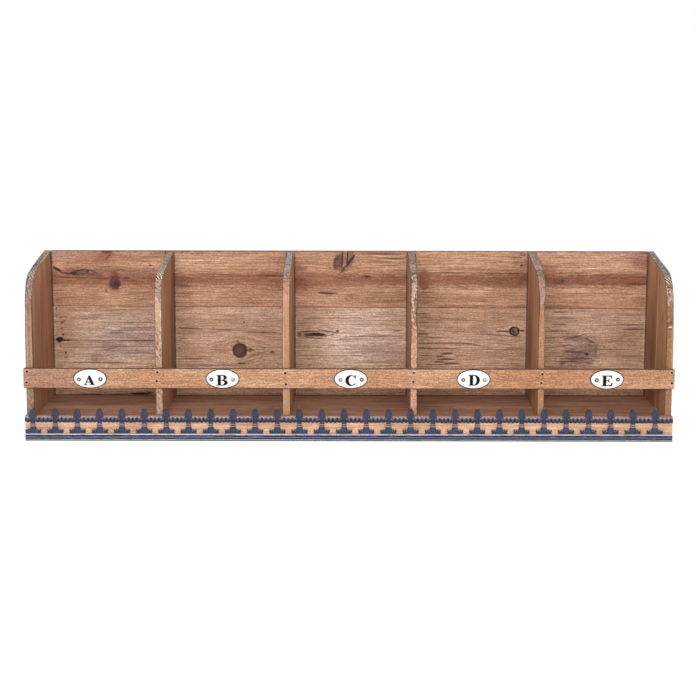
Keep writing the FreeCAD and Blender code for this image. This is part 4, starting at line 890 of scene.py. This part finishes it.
def worn(form, depth, size, seed):
    """Pushes the surface in unevenly, most at its edges, and never outwards."""
    form.normal_update()
    moves = []
    for vert in form.verts:
        spread = 1.0 - min(vert.normal.dot(face.normal) for face in vert.link_faces)
        share = min(1.0, 0.25 + 2.2 * spread)
        dent = 0.5 + 0.5 * noise.noise(vert.co / size + Vector((seed, 0, 0)))
        chip = max(0.0, noise.noise(vert.co / (size * 0.45) + Vector((0, seed, 0))) - 0.25)
        moves.append((vert, vert.normal * -(share * depth * (dent + 2.2 * chip))))
    for vert, move in moves:
        vert.co += move


def carve(form, low, high, rows, seed):
    """Carves both sides of an upright back along its front and top edge, by rows of (way along it, left, right)."""
    form.normal_update()
    middle = (low.x + high.x) / 2
    for vert in form.verts:
        if vert.co.z < low.z + 2.0:
            continue
        behind = vert.co.y - low.y
        beneath = high.z - TOP_FALL * (high.y - vert.co.y) / FULL_DEPTH - vert.co.z
        inside = min(behind, beneath)
        if max(behind, beneath) < CORNER:
            inside = CORNER - math.hypot(CORNER - behind, CORNER - beneath)
        fade = 1.0 - min(1.0, max(0.0, inside - 2.0) / FADE)
        along = vert.co.z + behind
        start = max(index for index, row in enumerate(rows) if row[0] <= along)
        before, after = rows[start], rows[min(start + 1, len(rows) - 1)]
        share = min(1.0, (along - before[0]) / max(1.0, after[0] - before[0]))
        right = vert.co.x > middle
        column = 2 if right else 1
        cut = before[column] + (after[column] - before[column]) * share
        cut += 0.35 * max(0.0, noise.noise(Vector((seed + 7.0 * right, along / 5.0, 0.0))))
        near = min(1.0, abs(vert.co.x - middle) / (high.x - middle))
        vert.co.x += (-cut if right else cut) * near * fade


def worn_upright(node, seed, depth, rows):
    """An end or divider with eased, ragged edges."""
    low, high = limits(node)
    front_top = high.z - TOP_FALL * (high.y - low.y) / FULL_DEPTH
    form = bmesh.new()
    corners = ((low.y, low.z), (high.y, low.z), (high.y, high.z), (low.y, front_top))
    face = form.faces.new([form.verts.new((low.x, y, z)) for y, z in corners])
    grown = bmesh.ops.extrude_face_region(form, geom=[face])["geom"]
    bmesh.ops.translate(form, vec=(high.x - low.x, 0, 0), verts=only(bmesh.types.BMVert, grown))
    form.edges.ensure_lookup_table()
    corner = [
        edge for edge in form.edges
        if all(abs(v.co.y - low.y) < 0.1 and abs(v.co.z - front_top) < 0.1 for v in edge.verts)
    ]
    slope = math.atan2(TOP_FALL, FULL_DEPTH)
    eased(form, corner, CORNER * math.tan((math.pi / 2 - slope) / 2), 12)
    arrises = [edge for edge in form.edges if len(edge.link_faces) == 2 and edge.calc_face_angle() > 0.6]
    eased(form, arrises, 0.95, 2)
    sliced(form, 2, low.z, high.z, 3.5)
    sliced(form, 1, low.y, high.y, 6.0)
    bmesh.ops.triangulate(form, faces=[face for face in form.faces if len(face.verts) > 4])
    worn(form, depth, 7.0, seed)
    carve(form, low, high, rows, seed)
    finished("worn_" + node, form, [upright_woods[node]], "old_wood", node, smooth=50.0)


def worn_plank(name, node, material, seed, depth, arris):
    """A long board across the front with eased arrises."""
    low, high = limits(node)
    form = bmesh.new()
    bmesh.ops.create_cube(form, size=1.0)
    bmesh.ops.scale(form, vec=high - low, verts=form.verts)
    bmesh.ops.translate(form, vec=(low + high) / 2, verts=form.verts)
    eased(form, form.edges[:], arris, 3)
    sliced(form, 0, low.x, high.x, 5.0)
    sliced(form, 2, low.z, high.z, 7.0)
    worn(form, depth, 9.0, seed)
    finished(name, form, [material], "old_wood", node, smooth=50.0)


def back_plank(name, node, materials):
    """A plank in its own shape, with a finish for each bay between the dividers and the last one behind."""
    form = bmesh.new()
    form.from_mesh(nodes[node].data)
    resized(form, 1 / MM)
    bmesh.ops.remove_doubles(form, verts=form.verts, dist=1e-3)
    for split in SPLITS:
        cut_across(form, (split, 0, 0), (1, 0, 0))
    form.normal_update()
    for face in form.faces:
        face.material_index = sum(face.calc_center_median().x > split for split in SPLITS)
        if face.normal.y > 0.5:
            face.material_index = len(materials) - 1
    finished(name, form, materials, "old_wood", node)


for number, (node, rows) in enumerate(CARVED.items()):
    worn_upright(node, 10.0 * number, 0.55 if node == "divider_3" else 0.35, rows)
back_plank("upper_back_plank", "back_plank_upper", back_upper)
back_plank("lower_back_plank", "back_plank_lower", back_lower)
worn_plank("worn_front_rail", "front_rail", rail_wood, 3.0, 0.16, 1.1)
worn_plank("worn_front_lip", "front_lip", lip_wood, 17.0, 0.2, 0.6)


# Cast strip

BOARD_FRONT = limits("front_lip")[0].y
STRIP_LOW, STRIP_HIGH = limits("fleur_trim")
SPACING, FIRST = 30.8, STRIP_LOW.x + 10.5  # from fleur to fleur, and the first one's place
REED, REED_COUNT = 10.4 / 3, 3  # height of a reed of the moulding


def swept(form, points, stations):
    """Carries a closed section through the stations, each a function of (across, out), and closes both ends."""
    verts = [form.verts.new((across, 0, out)) for across, out in points]
    edges = first = [form.edges.new((verts[index - 1], verts[index])) for index in range(len(verts))]
    loop = [edge.verts[1] for edge in edges]
    for number, station in enumerate(stations):
        if number:
            before = loop
            grown = bmesh.ops.extrude_edge_only(form, edges=edges)["geom"]
            edges = only(bmesh.types.BMEdge, grown)
            fresh = set(only(bmesh.types.BMVert, grown))
            loop = [next(e.other_vert(v) for e in v.link_edges if e.other_vert(v) in fresh) for v in before]
        else:
            base = [vert.co.copy() for vert in loop]
        for vert, place in zip(loop, base):
            vert.co = station(place.x, place.z)
    for rim in (first, edges):
        bmesh.ops.holes_fill(form, edges=rim, sides=0)


def bent_bar(form, path, count=10):
    """A rounded bar through (x, z, out, radius, thickness) places, seen from the front."""
    turns = [2 * math.pi * (index + 0.5) / count for index in range(count)]
    stations = []
    for index, (x, z, out, radius, thick) in enumerate(path):
        before, after = path[max(0, index - 1)], path[min(len(path) - 1, index + 1)]
        heading = Vector((after[0] - before[0], after[1] - before[1])).normalized()

        def station(across, height, x=x, z=z, out=out, radius=radius, thick=thick, heading=heading):
            return Vector((
                x - heading.y * across * radius,
                BOARD_FRONT - max(0.0, out + height * thick),
                z + heading.x * across * radius,
            ))

        stations.append(station)
    swept(form, [(math.cos(turn), math.sin(turn)) for turn in turns], stations)


def upright_blade(form, points, rows):
    """A section carried up through rows of (height, half width, how proud it stands)."""
    stations = [
        lambda across, out, height=height, wide=wide, proud=proud: Vector(
            (across * wide, BOARD_FRONT - out * proud, height)
        )
        for height, wide, proud in rows
    ]
    swept(form, points, stations)


def smooth_path(places, count):
    """Places eased into a longer row by a smooth curve through all of them."""
    rows = [Vector(place) for place in places]
    eased = []
    for index in range(count + 1):
        at = index / count * (len(rows) - 1)
        start = min(int(at), len(rows) - 2)
        t = at - start
        a, b = rows[max(0, start - 1)], rows[start]
        c, d = rows[start + 1], rows[min(len(rows) - 1, start + 2)]
        eased.append(
            0.5 * (2 * b + (c - a) * t + (2 * a - 5 * b + 4 * c - d) * t ** 2 + (3 * b - a - 3 * c + d) * t ** 3)
        )
    return eased


def mirrored(path, side):
    return [(side * x, *rest) for x, *rest in path]


def boss(form, x, z, out, radius, thick, steps=12, tall=1.0):
    """A rounded boss on the board, fuller than half a ball."""
    made = bmesh.ops.create_uvsphere(form, u_segments=steps, v_segments=8, radius=1.0)["verts"]
    bmesh.ops.rotate(form, cent=(0, 0, 0), matrix=Matrix.Rotation(math.pi / 2, 3, "X"), verts=made)
    for vert in made:
        vert.co = Vector((
            x + vert.co.x * radius, BOARD_FRONT - max(0.0, out - vert.co.y * thick), z + vert.co.z * radius * tall
        ))


def lancet_leaf(form):
    """The middle leaf: fullest half way up, waisted below and ridged down its front."""
    points = ((-1.0, 0.0), (-1.0, 0.5), (-0.62, 0.72), (-0.22, 0.86), (0.0, 1.0), (0.22, 0.86), (0.62, 0.72),
              (1.0, 0.5), (1.0, 0.0))
    rows = ((25.2, 3.1, 3.9), (27.5, 3.1, 4.1), (30.0, 3.5, 4.3), (32.5, 4.2, 4.7), (35.0, 4.75, 5.0),
            (37.2, 4.85, 5.1), (39.6, 4.4, 5.0), (42.0, 3.5, 4.8), (44.2, 2.3, 4.4), (46.2, 1.25, 3.9),
            (47.6, 0.45, 3.2))
    upright_blade(form, points, rows)


def side_petal(form, side):
    """A full petal of two lumps that comes from behind the leaf, and the curl that it starts from."""
    path = ((1.0, 28.4, 1.0, 1.8, 2.2), (2.8, 30.2, 1.2, 2.5, 2.4), (5.0, 30.9, 1.2, 2.7, 2.5),
            (8.0, 30.4, 1.1, 2.5, 2.4), (11.0, 29.8, 1.1, 2.4, 2.3), (13.6, 29.6, 1.0, 2.2, 2.2))
    bent_bar(form, mirrored(smooth_path(path, 12), side))
    boss(form, side * 12.6, 29.9, 0.9, 3.6, 4.1, 14, 1.22)
    boss(form, side * 6.9, 30.3, 1.1, 3.6, 4.1, 14, 1.26)
    curl = ((5.0, 32.2, 3.5, 0.4, 0.6), (4.2, 30.4, 3.9, 0.8, 1.0), (3.3, 28.8, 3.8, 0.8, 1.0),
            (2.6, 27.2, 3.3, 0.4, 0.6))
    bent_bar(form, mirrored(curl, side), 8)


def spreading_foot(form, side):
    """Half of the foot: it sweeps down from the stem and curls up in a scroll."""
    path = ((1.4, 20.0, 1.0, 1.7, 2.0), (2.9, 17.0, 1.1, 1.7, 2.0), (4.6, 14.4, 1.2, 1.7, 2.0),
            (7.0, 12.9, 1.3, 1.9, 2.1), (9.0, 12.9, 1.2, 1.8, 1.9), (10.0, 13.6, 1.0, 1.1, 1.4))
    bent_bar(form, mirrored(smooth_path(path, 10), side), 8)
    boss(form, side * 8.6, 14.8, 1.0, 2.8, 3.4, 12)


def stem_and_collar(form):
    """The shaft, wider at its foot, and the two rings that tie the leaf and petals."""
    points = ((-1.0, 0.0), (-1.0, 0.55), (-0.8, 0.8), (-0.45, 1.0), (0.45, 1.0), (0.8, 0.8), (1.0, 0.55), (1.0, 0.0))
    rows = ((10.2, 5.2, 3.0), (12.6, 4.8, 3.1), (15.0, 4.1, 3.2), (17.4, 3.5, 3.2), (20.0, 3.0, 3.2), (23.0, 2.9, 3.3),
            (26.5, 2.9, 3.6))
    upright_blade(form, points, rows)
    ends = ((-3.5, 0.45), (-3.2, 0.95), (-1.9, 1.2), (0.0, 1.25), (1.9, 1.2), (3.2, 0.95), (3.5, 0.45))
    for height in (21.0, 23.6):
        bent_bar(form, [(x, height, 1.9, radius, 3.0 * radius / 1.25) for x, radius in ends], 8)


def fleur_pattern():
    """The mesh of one whole fleur-de-lis about x = 0."""
    form = bmesh.new()
    lancet_leaf(form)
    for side in (-1, 1):
        side_petal(form, side)
        spreading_foot(form, side)
    stem_and_collar(form)
    slab = bmesh.ops.create_cube(form, size=1.0)["verts"]
    bmesh.ops.scale(form, vec=(21.8, 2.6, 2.4), verts=slab)
    bmesh.ops.translate(form, vec=(0, BOARD_FRONT - 1.3, 11.2), verts=slab)
    bmesh.ops.recalc_face_normals(form, faces=form.faces)
    return mesh_from(form, "fleur pattern")


def moulding(form):
    """Half-round reeds along the foot of the lip, slightly uneven along the casting."""
    points = [(0.0, 0.0)]
    for index in range(REED_COUNT):
        for part in range(9):
            turn = math.pi * part / 8
            points.append(((index + 0.5 - 0.5 * math.cos(turn)) * REED, 1.6 + 2.6 * math.sin(turn) ** 0.8))
    points.append((REED_COUNT * REED, 0.0))
    count = 150
    stations = []
    for index in range(count + 1):
        x = STRIP_LOW.x + (STRIP_HIGH.x - STRIP_LOW.x) * index / count
        ripple = 0.14 * noise.noise(Vector((x / 11, 0, 0)))

        def station(height, out, x=x, ripple=ripple):
            return Vector((x, BOARD_FRONT - out * (1 + ripple * 0.4), height * (1 + ripple * 0.12)))

        stations.append(station)
    swept(form, points, stations)


def cast_strip():
    """The gallery strip, cut to length through its pattern."""
    pattern = fleur_pattern()
    form = bmesh.new()
    count = int((STRIP_HIGH.x - FIRST) / SPACING) + 2
    for index in range(count):
        before = set(form.verts)
        form.from_mesh(pattern)
        fresh = [vert for vert in form.verts if vert not in before]
        if index == count - 1:  # only a petal of the last one is left on the strip
            gone = [vert for vert in fresh if vert.co.z < 24.0 or vert.co.x > -0.4]
            bmesh.ops.delete(form, geom=gone, context="VERTS")
            fresh = [vert for vert in form.verts if vert not in before]
        lean = Matrix.Rotation(0.022 * noise.noise(Vector((index * 3.7, 1, 0))), 3, "Y")
        bmesh.ops.rotate(form, cent=(0, BOARD_FRONT, 11.0), matrix=lean, verts=fresh)
        bmesh.ops.translate(form, vec=(FIRST + index * SPACING, 0, 0), verts=fresh)
    for side, end in ((-1, STRIP_LOW.x), (1, STRIP_HIGH.x)):
        rim = only(bmesh.types.BMEdge, cut_across(form, (end, 0, 0), (side, 0, 0), clear_outer=True))
        bmesh.ops.holes_fill(form, edges=rim, sides=0)
    moulding(form)
    finished("cast_fleur_strip", form, [casting], "dark_cast_metal", "fleur_trim", smooth=42.0)


cast_strip()


# Label plates

LETTER_SIZES = {"A": 13.3, "B": 15.0, "C": 15.0, "D": 15.0, "E": 15.0}
LETTER_NUDGES = {"A": (-1.2, -2.2), "B": (-0.4, -1.8), "C": (0.0, -1.8), "D": (1.1, -1.1), "E": (-0.2, -1.6)}
# Pins from left to right: the shift of each, and which ring it has.
PIN_NUDGES = (
    (-0.3, -0.9), (-0.5, -0.6), (-0.4, -0.8), (-0.4, -1.0), (0.7, -0.9), (0.2, -0.7), (0.8, -0.7), (0.3, -0.7),
    (0.6, -0.8), (-0.2, 0.3),
)
PIN_RINGS = (1, 0, 0, 2, 2, 1, 1, 2, 0, 0)


def bow(x, z, wide, high, start, end, count=14):
    """Points on an elliptical stroke between two angles in degrees."""
    angles = [math.radians(start + (end - start) * index / count) for index in range(count + 1)]
    return [(x + wide * math.cos(angle), z + high * math.sin(angle)) for angle in angles]


# Outlines of the letters, each one tall and about its middle.
LETTERS = {
    "A": (
        [(-0.58, 0), (-0.2, 0), (-0.2, 0.075), (-0.325, 0.075), (-0.25, 0.26), (0.1, 0.26), (0.18, 0.075),
         (0.07, 0.075), (0.07, 0), (0.58, 0), (0.58, 0.075), (0.51, 0.075), (0.11, 1), (-0.04, 1), (-0.44, 0.075),
         (-0.58, 0.075)],
        [(-0.205, 0.35), (0.064, 0.35), (-0.073, 0.655)],
    ),
    "B": (
        [(-0.52, 0), *bow(0.05, 0.275, 0.45, 0.275, -90, 78), *bow(0.03, 0.76, 0.4, 0.24, -75, 90), (-0.52, 1),
         (-0.52, 0.925), (-0.42, 0.925), (-0.42, 0.075), (-0.52, 0.075)],
        [(-0.13, 0.085), *bow(0.0, 0.275, 0.19, 0.19, -90, 90), (-0.13, 0.465)],
        [(-0.13, 0.55), *bow(-0.01, 0.735, 0.15, 0.185, -90, 90), (-0.13, 0.92)],
    ),
    "C": (
        [*bow(0, 0.5, 0.51, 0.51, 55, 300), (0.47, 0.2), (0.43, 0.26), *bow(0.12, 0.5, 0.3, 0.42, -50, -308, 26),
         (0.41, 0.64), (0.46, 0.64), (0.46, 1), (0.41, 1), (0.36, 0.92)],
    ),
    "D": (
        [(-0.53, 0), *bow(-0.02, 0.5, 0.53, 0.5, -90, 90, 20), (-0.53, 1), (-0.53, 0.925), (-0.42, 0.925),
         (-0.42, 0.075), (-0.53, 0.075)],
        [(-0.12, 0.085), *bow(-0.06, 0.5, 0.26, 0.415, -90, 90, 20), (-0.12, 0.915)],
    ),
    "E": (
        [(-0.5, 0), (0.45, 0), (0.5, 0.33), (0.44, 0.33), (0.36, 0.15), (0.22, 0.085), (-0.07, 0.085), (-0.07, 0.46),
         (0.05, 0.46), (0.12, 0.42), (0.14, 0.33), (0.2, 0.33), (0.2, 0.69), (0.14, 0.69), (0.12, 0.59),
         (0.05, 0.545), (-0.07, 0.545), (-0.07, 0.915), (0.18, 0.915), (0.33, 0.86), (0.4, 0.7), (0.46, 0.7),
         (0.43, 1), (-0.5, 1), (-0.5, 0.925), (-0.38, 0.925), (-0.38, 0.075), (-0.5, 0.075)],
    ),
}


def enamel_letter(letter, x, y, z):
    """A raised enamel letter, filled from its outlines."""
    outline = bpy.data.curves.new("outline of " + letter, "CURVE")
    outline.dimensions, outline.fill_mode, outline.extrude = "2D", "BOTH", 0.06 * MM
    size = LETTER_SIZES[letter] * MM
    for points in LETTERS[letter]:
        spline = outline.splines.new("POLY")
        spline.points.add(len(points) - 1)
        for point, (across, up) in zip(spline.points, points):
            point.co = (across * size, (up - 0.5) * size, 0, 1)
        spline.use_cyclic_u = True
    holder = shown("outline of " + letter, outline)
    bpy.context.view_layer.update()
    mesh = bpy.data.meshes.new_from_object(holder.evaluated_get(bpy.context.evaluated_depsgraph_get()))
    bpy.data.objects.remove(holder)
    form = bmesh.new()
    form.from_mesh(mesh)
    resized(form, 1 / MM)
    upended(form, form.verts)
    bmesh.ops.translate(form, vec=(x, y, z), verts=form.verts)
    bmesh.ops.remove_doubles(form, verts=form.verts, dist=CUT_GAP)
    finished("letter_" + letter, form, [black_enamel], "white_enamel", smooth=30.0)


def enamel_plate(node, letter):
    """A domed oval plate with a rolled black rim."""
    low, high = limits(node)
    centre = (low + high) / 2
    half_long, half_high = (high.x - low.x) / 2, (high.z - low.z) / 2
    rows = ((0.0, 0.0), (0.0, 0.34), (0.18, 0.48), (0.5, 0.55), (0.85, 0.52), (1.1, 0.47), (1.8, 0.62), (2.9, 0.8),
            (4.2, 0.92), (5.6, 0.98), (7.5, 1.0))  # inset from the rim, share of the crown's height
    form = bmesh.new()
    bmesh.ops.create_circle(form, segments=72, radius=1.0, cap_ends=False)
    upended(form, form.verts)
    edges = first = form.edges[:]
    loop = form.verts[:]
    middle, wide, tall = Vector((0, 0, 0)), 1.0, 1.0
    for number, (inset, share) in enumerate(rows):
        if number:
            grown = bmesh.ops.extrude_edge_only(form, edges=edges)["geom"]
            edges, loop = only(bmesh.types.BMEdge, grown), only(bmesh.types.BMVert, grown)
            for face in only(bmesh.types.BMFace, grown):
                face.material_index = 1 if number < 6 else 0
        for vert in loop:
            vert.co = Vector((
                centre.x + (vert.co.x - middle.x) * (half_long - inset) / wide,
                high.y - (high.y - low.y) * share,
                centre.z + (vert.co.z - middle.z) * (half_high - inset) / tall,
            ))
        middle, wide, tall = centre, half_long - inset, half_high - inset
    for rim in (first, edges):
        bmesh.ops.holes_fill(form, edges=rim, sides=0)
    finished("enamel_plate_" + node[-1], form, [white_enamel, black_enamel], "white_enamel", node, smooth=50.0)
    across, up = LETTER_NUDGES[letter]
    enamel_letter(letter, centre.x + across, low.y - 0.05, centre.z + up)


def round_head_pins():
    """The pins' domed heads: bright in the middle, with a tarnished ring in a turned groove round it. The ring's colour
    runs on over the head's outer skirt, where the dark ring stands for painted shade round the head.
    """
    profile = ((0.0, 1.38), (0.7, 1.34), (1.1, 1.22), (1.3, 0.96), (1.6, 0.94), (1.8, 1.14), (2.2, 1.0), (2.62, 0.6),
               (2.8, 0.0))
    form = bmesh.new()
    for number, (shift, ring) in enumerate(zip(PIN_NUDGES, PIN_RINGS)):
        low, high = limits("label_plate_%d" % (number // 2 + 1))
        centre = (low + high) / 2
        side = 15.0 if number % 2 else -15.0
        seat = Vector((centre.x + side + shift[0], low.y, centre.z + shift[1]))
        verts = [form.verts.new(seat + Vector((radius, -height, 0))) for radius, height in profile]
        edges = [form.edges.new(pair) for pair in zip(verts, verts[1:])]
        before = set(form.faces)
        bmesh.ops.spin(
            form, geom=verts + edges, cent=seat, axis=(0, 1, 0), angle=2 * math.pi, steps=20, use_merge=True
        )
        for face in form.faces:
            if face not in before:
                far = (face.calc_center_median() - seat).xz.length
                face.material_index = 1 + ring if far > 1.12 else 0
    bmesh.ops.remove_doubles(form, verts=form.verts, dist=CUT_GAP)
    finished("round_head_pins", form, [pin_steel, *pin_rings], "dull_steel", "label_pins", smooth=45.0)


for number, letter in enumerate("ABCDE", 1):
    enamel_plate("label_plate_%d" % number, letter)
round_head_pins()


# Stage, light and camera, in metres

def seen_directly(g, *kinds):
    """One for the rays of those kinds, and zero for the others."""
    rays = g.node("ShaderNodeLightPath").outputs
    seen = rays["Is %s Ray" % kinds[0]]
    for kind in kinds[1:]:
        seen = g.calc("MAXIMUM", seen, rays["Is %s Ray" % kind])
    return seen


def stage_floor():
    """A wide white floor that keeps a soft shadow."""
    form = bmesh.new()
    bmesh.ops.create_grid(form, x_segments=1, y_segments=1, size=30.0)
    floor = shown("studio_floor", mesh_from(form, "studio_floor"))
    material = bpy.data.materials.new("Studio floor")
    material.use_nodes = True
    g = Graph(material.node_tree)
    shader = material.node_tree.nodes["Principled BSDF"]
    shader.inputs["Base Color"].default_value = (0.82, 0.82, 0.82, 1.0)
    shader.inputs["Roughness"].default_value = 0.9
    share = g.calc("MULTIPLY", seen_directly(g, "Camera", "Glossy"), 0.84)
    glow = g.node("ShaderNodeEmission", {"Color": (1, 1, 1, 1), "Strength": 1.12}).outputs[0]
    mixed = g.node("ShaderNodeMixShader", {0: share, 1: shader.outputs[0], 2: glow})
    g.feed(material.node_tree.nodes["Material Output"].inputs["Surface"], mixed.outputs[0])
    floor.data.materials.append(material)


def studio_world():
    """White where the camera or a reflection sees it, softer as light."""
    world = bpy.data.worlds.new("Studio")
    scene.world = world
    world.use_nodes = True
    g = Graph(world.node_tree)
    background = world.node_tree.nodes["Background"]
    background.inputs["Color"].default_value = (1, 1, 1, 1)
    seen = seen_directly(g, "Camera", "Glossy", "Transmission")
    g.feed(background.inputs["Strength"], g.calc("MULTIPLY_ADD", seen, 0.45, 0.55))


def soft_lamp(name, place, target, size, power):
    lamp = bpy.data.lights.new(name, "AREA")
    lamp.shape, lamp.size, lamp.size_y, lamp.energy = "RECTANGLE", size[0], size[1], power
    holder = shown(name, lamp)
    holder.location = place
    holder.rotation_euler = (Vector(target) - Vector(place)).to_track_quat("-Z", "Y").to_euler()


def camera():
    """Stands a little above the organizer and looks down at it, as in the photograph."""
    data = bpy.data.cameras.new("Camera")
    data.lens, data.sensor_width = 76.31, 36.0
    data.shift_x, data.shift_y = -0.012, -0.15
    data.clip_start, data.clip_end = 0.05, 100.0
    holder = shown("Camera", data)
    holder.location = (0.00984, -2.0669, 0.5523)
    turn = Matrix.Rotation(math.pi / 2 - 0.1375, 3, "X") @ Matrix.Rotation(0.0019, 3, "Z")
    holder.rotation_euler = turn.to_euler()
    scene.camera = holder


stage_floor()
studio_world()
soft_lamp("Key lamp", (-0.45, -2.55, 1.2), (0, 0, 0.12), (1.2, 0.7), 40.0)
soft_lamp("Fill lamp", (1.1, -2.4, 0.8), (0, 0, 0.12), (1.2, 1.0), 14.0)
soft_lamp("Back lamp", (0.2, 2.2, 1.6), (0, 0, 0.1), (1.8, 1.0), 14.0)
camera()
scene.view_settings.view_transform = "Standard"
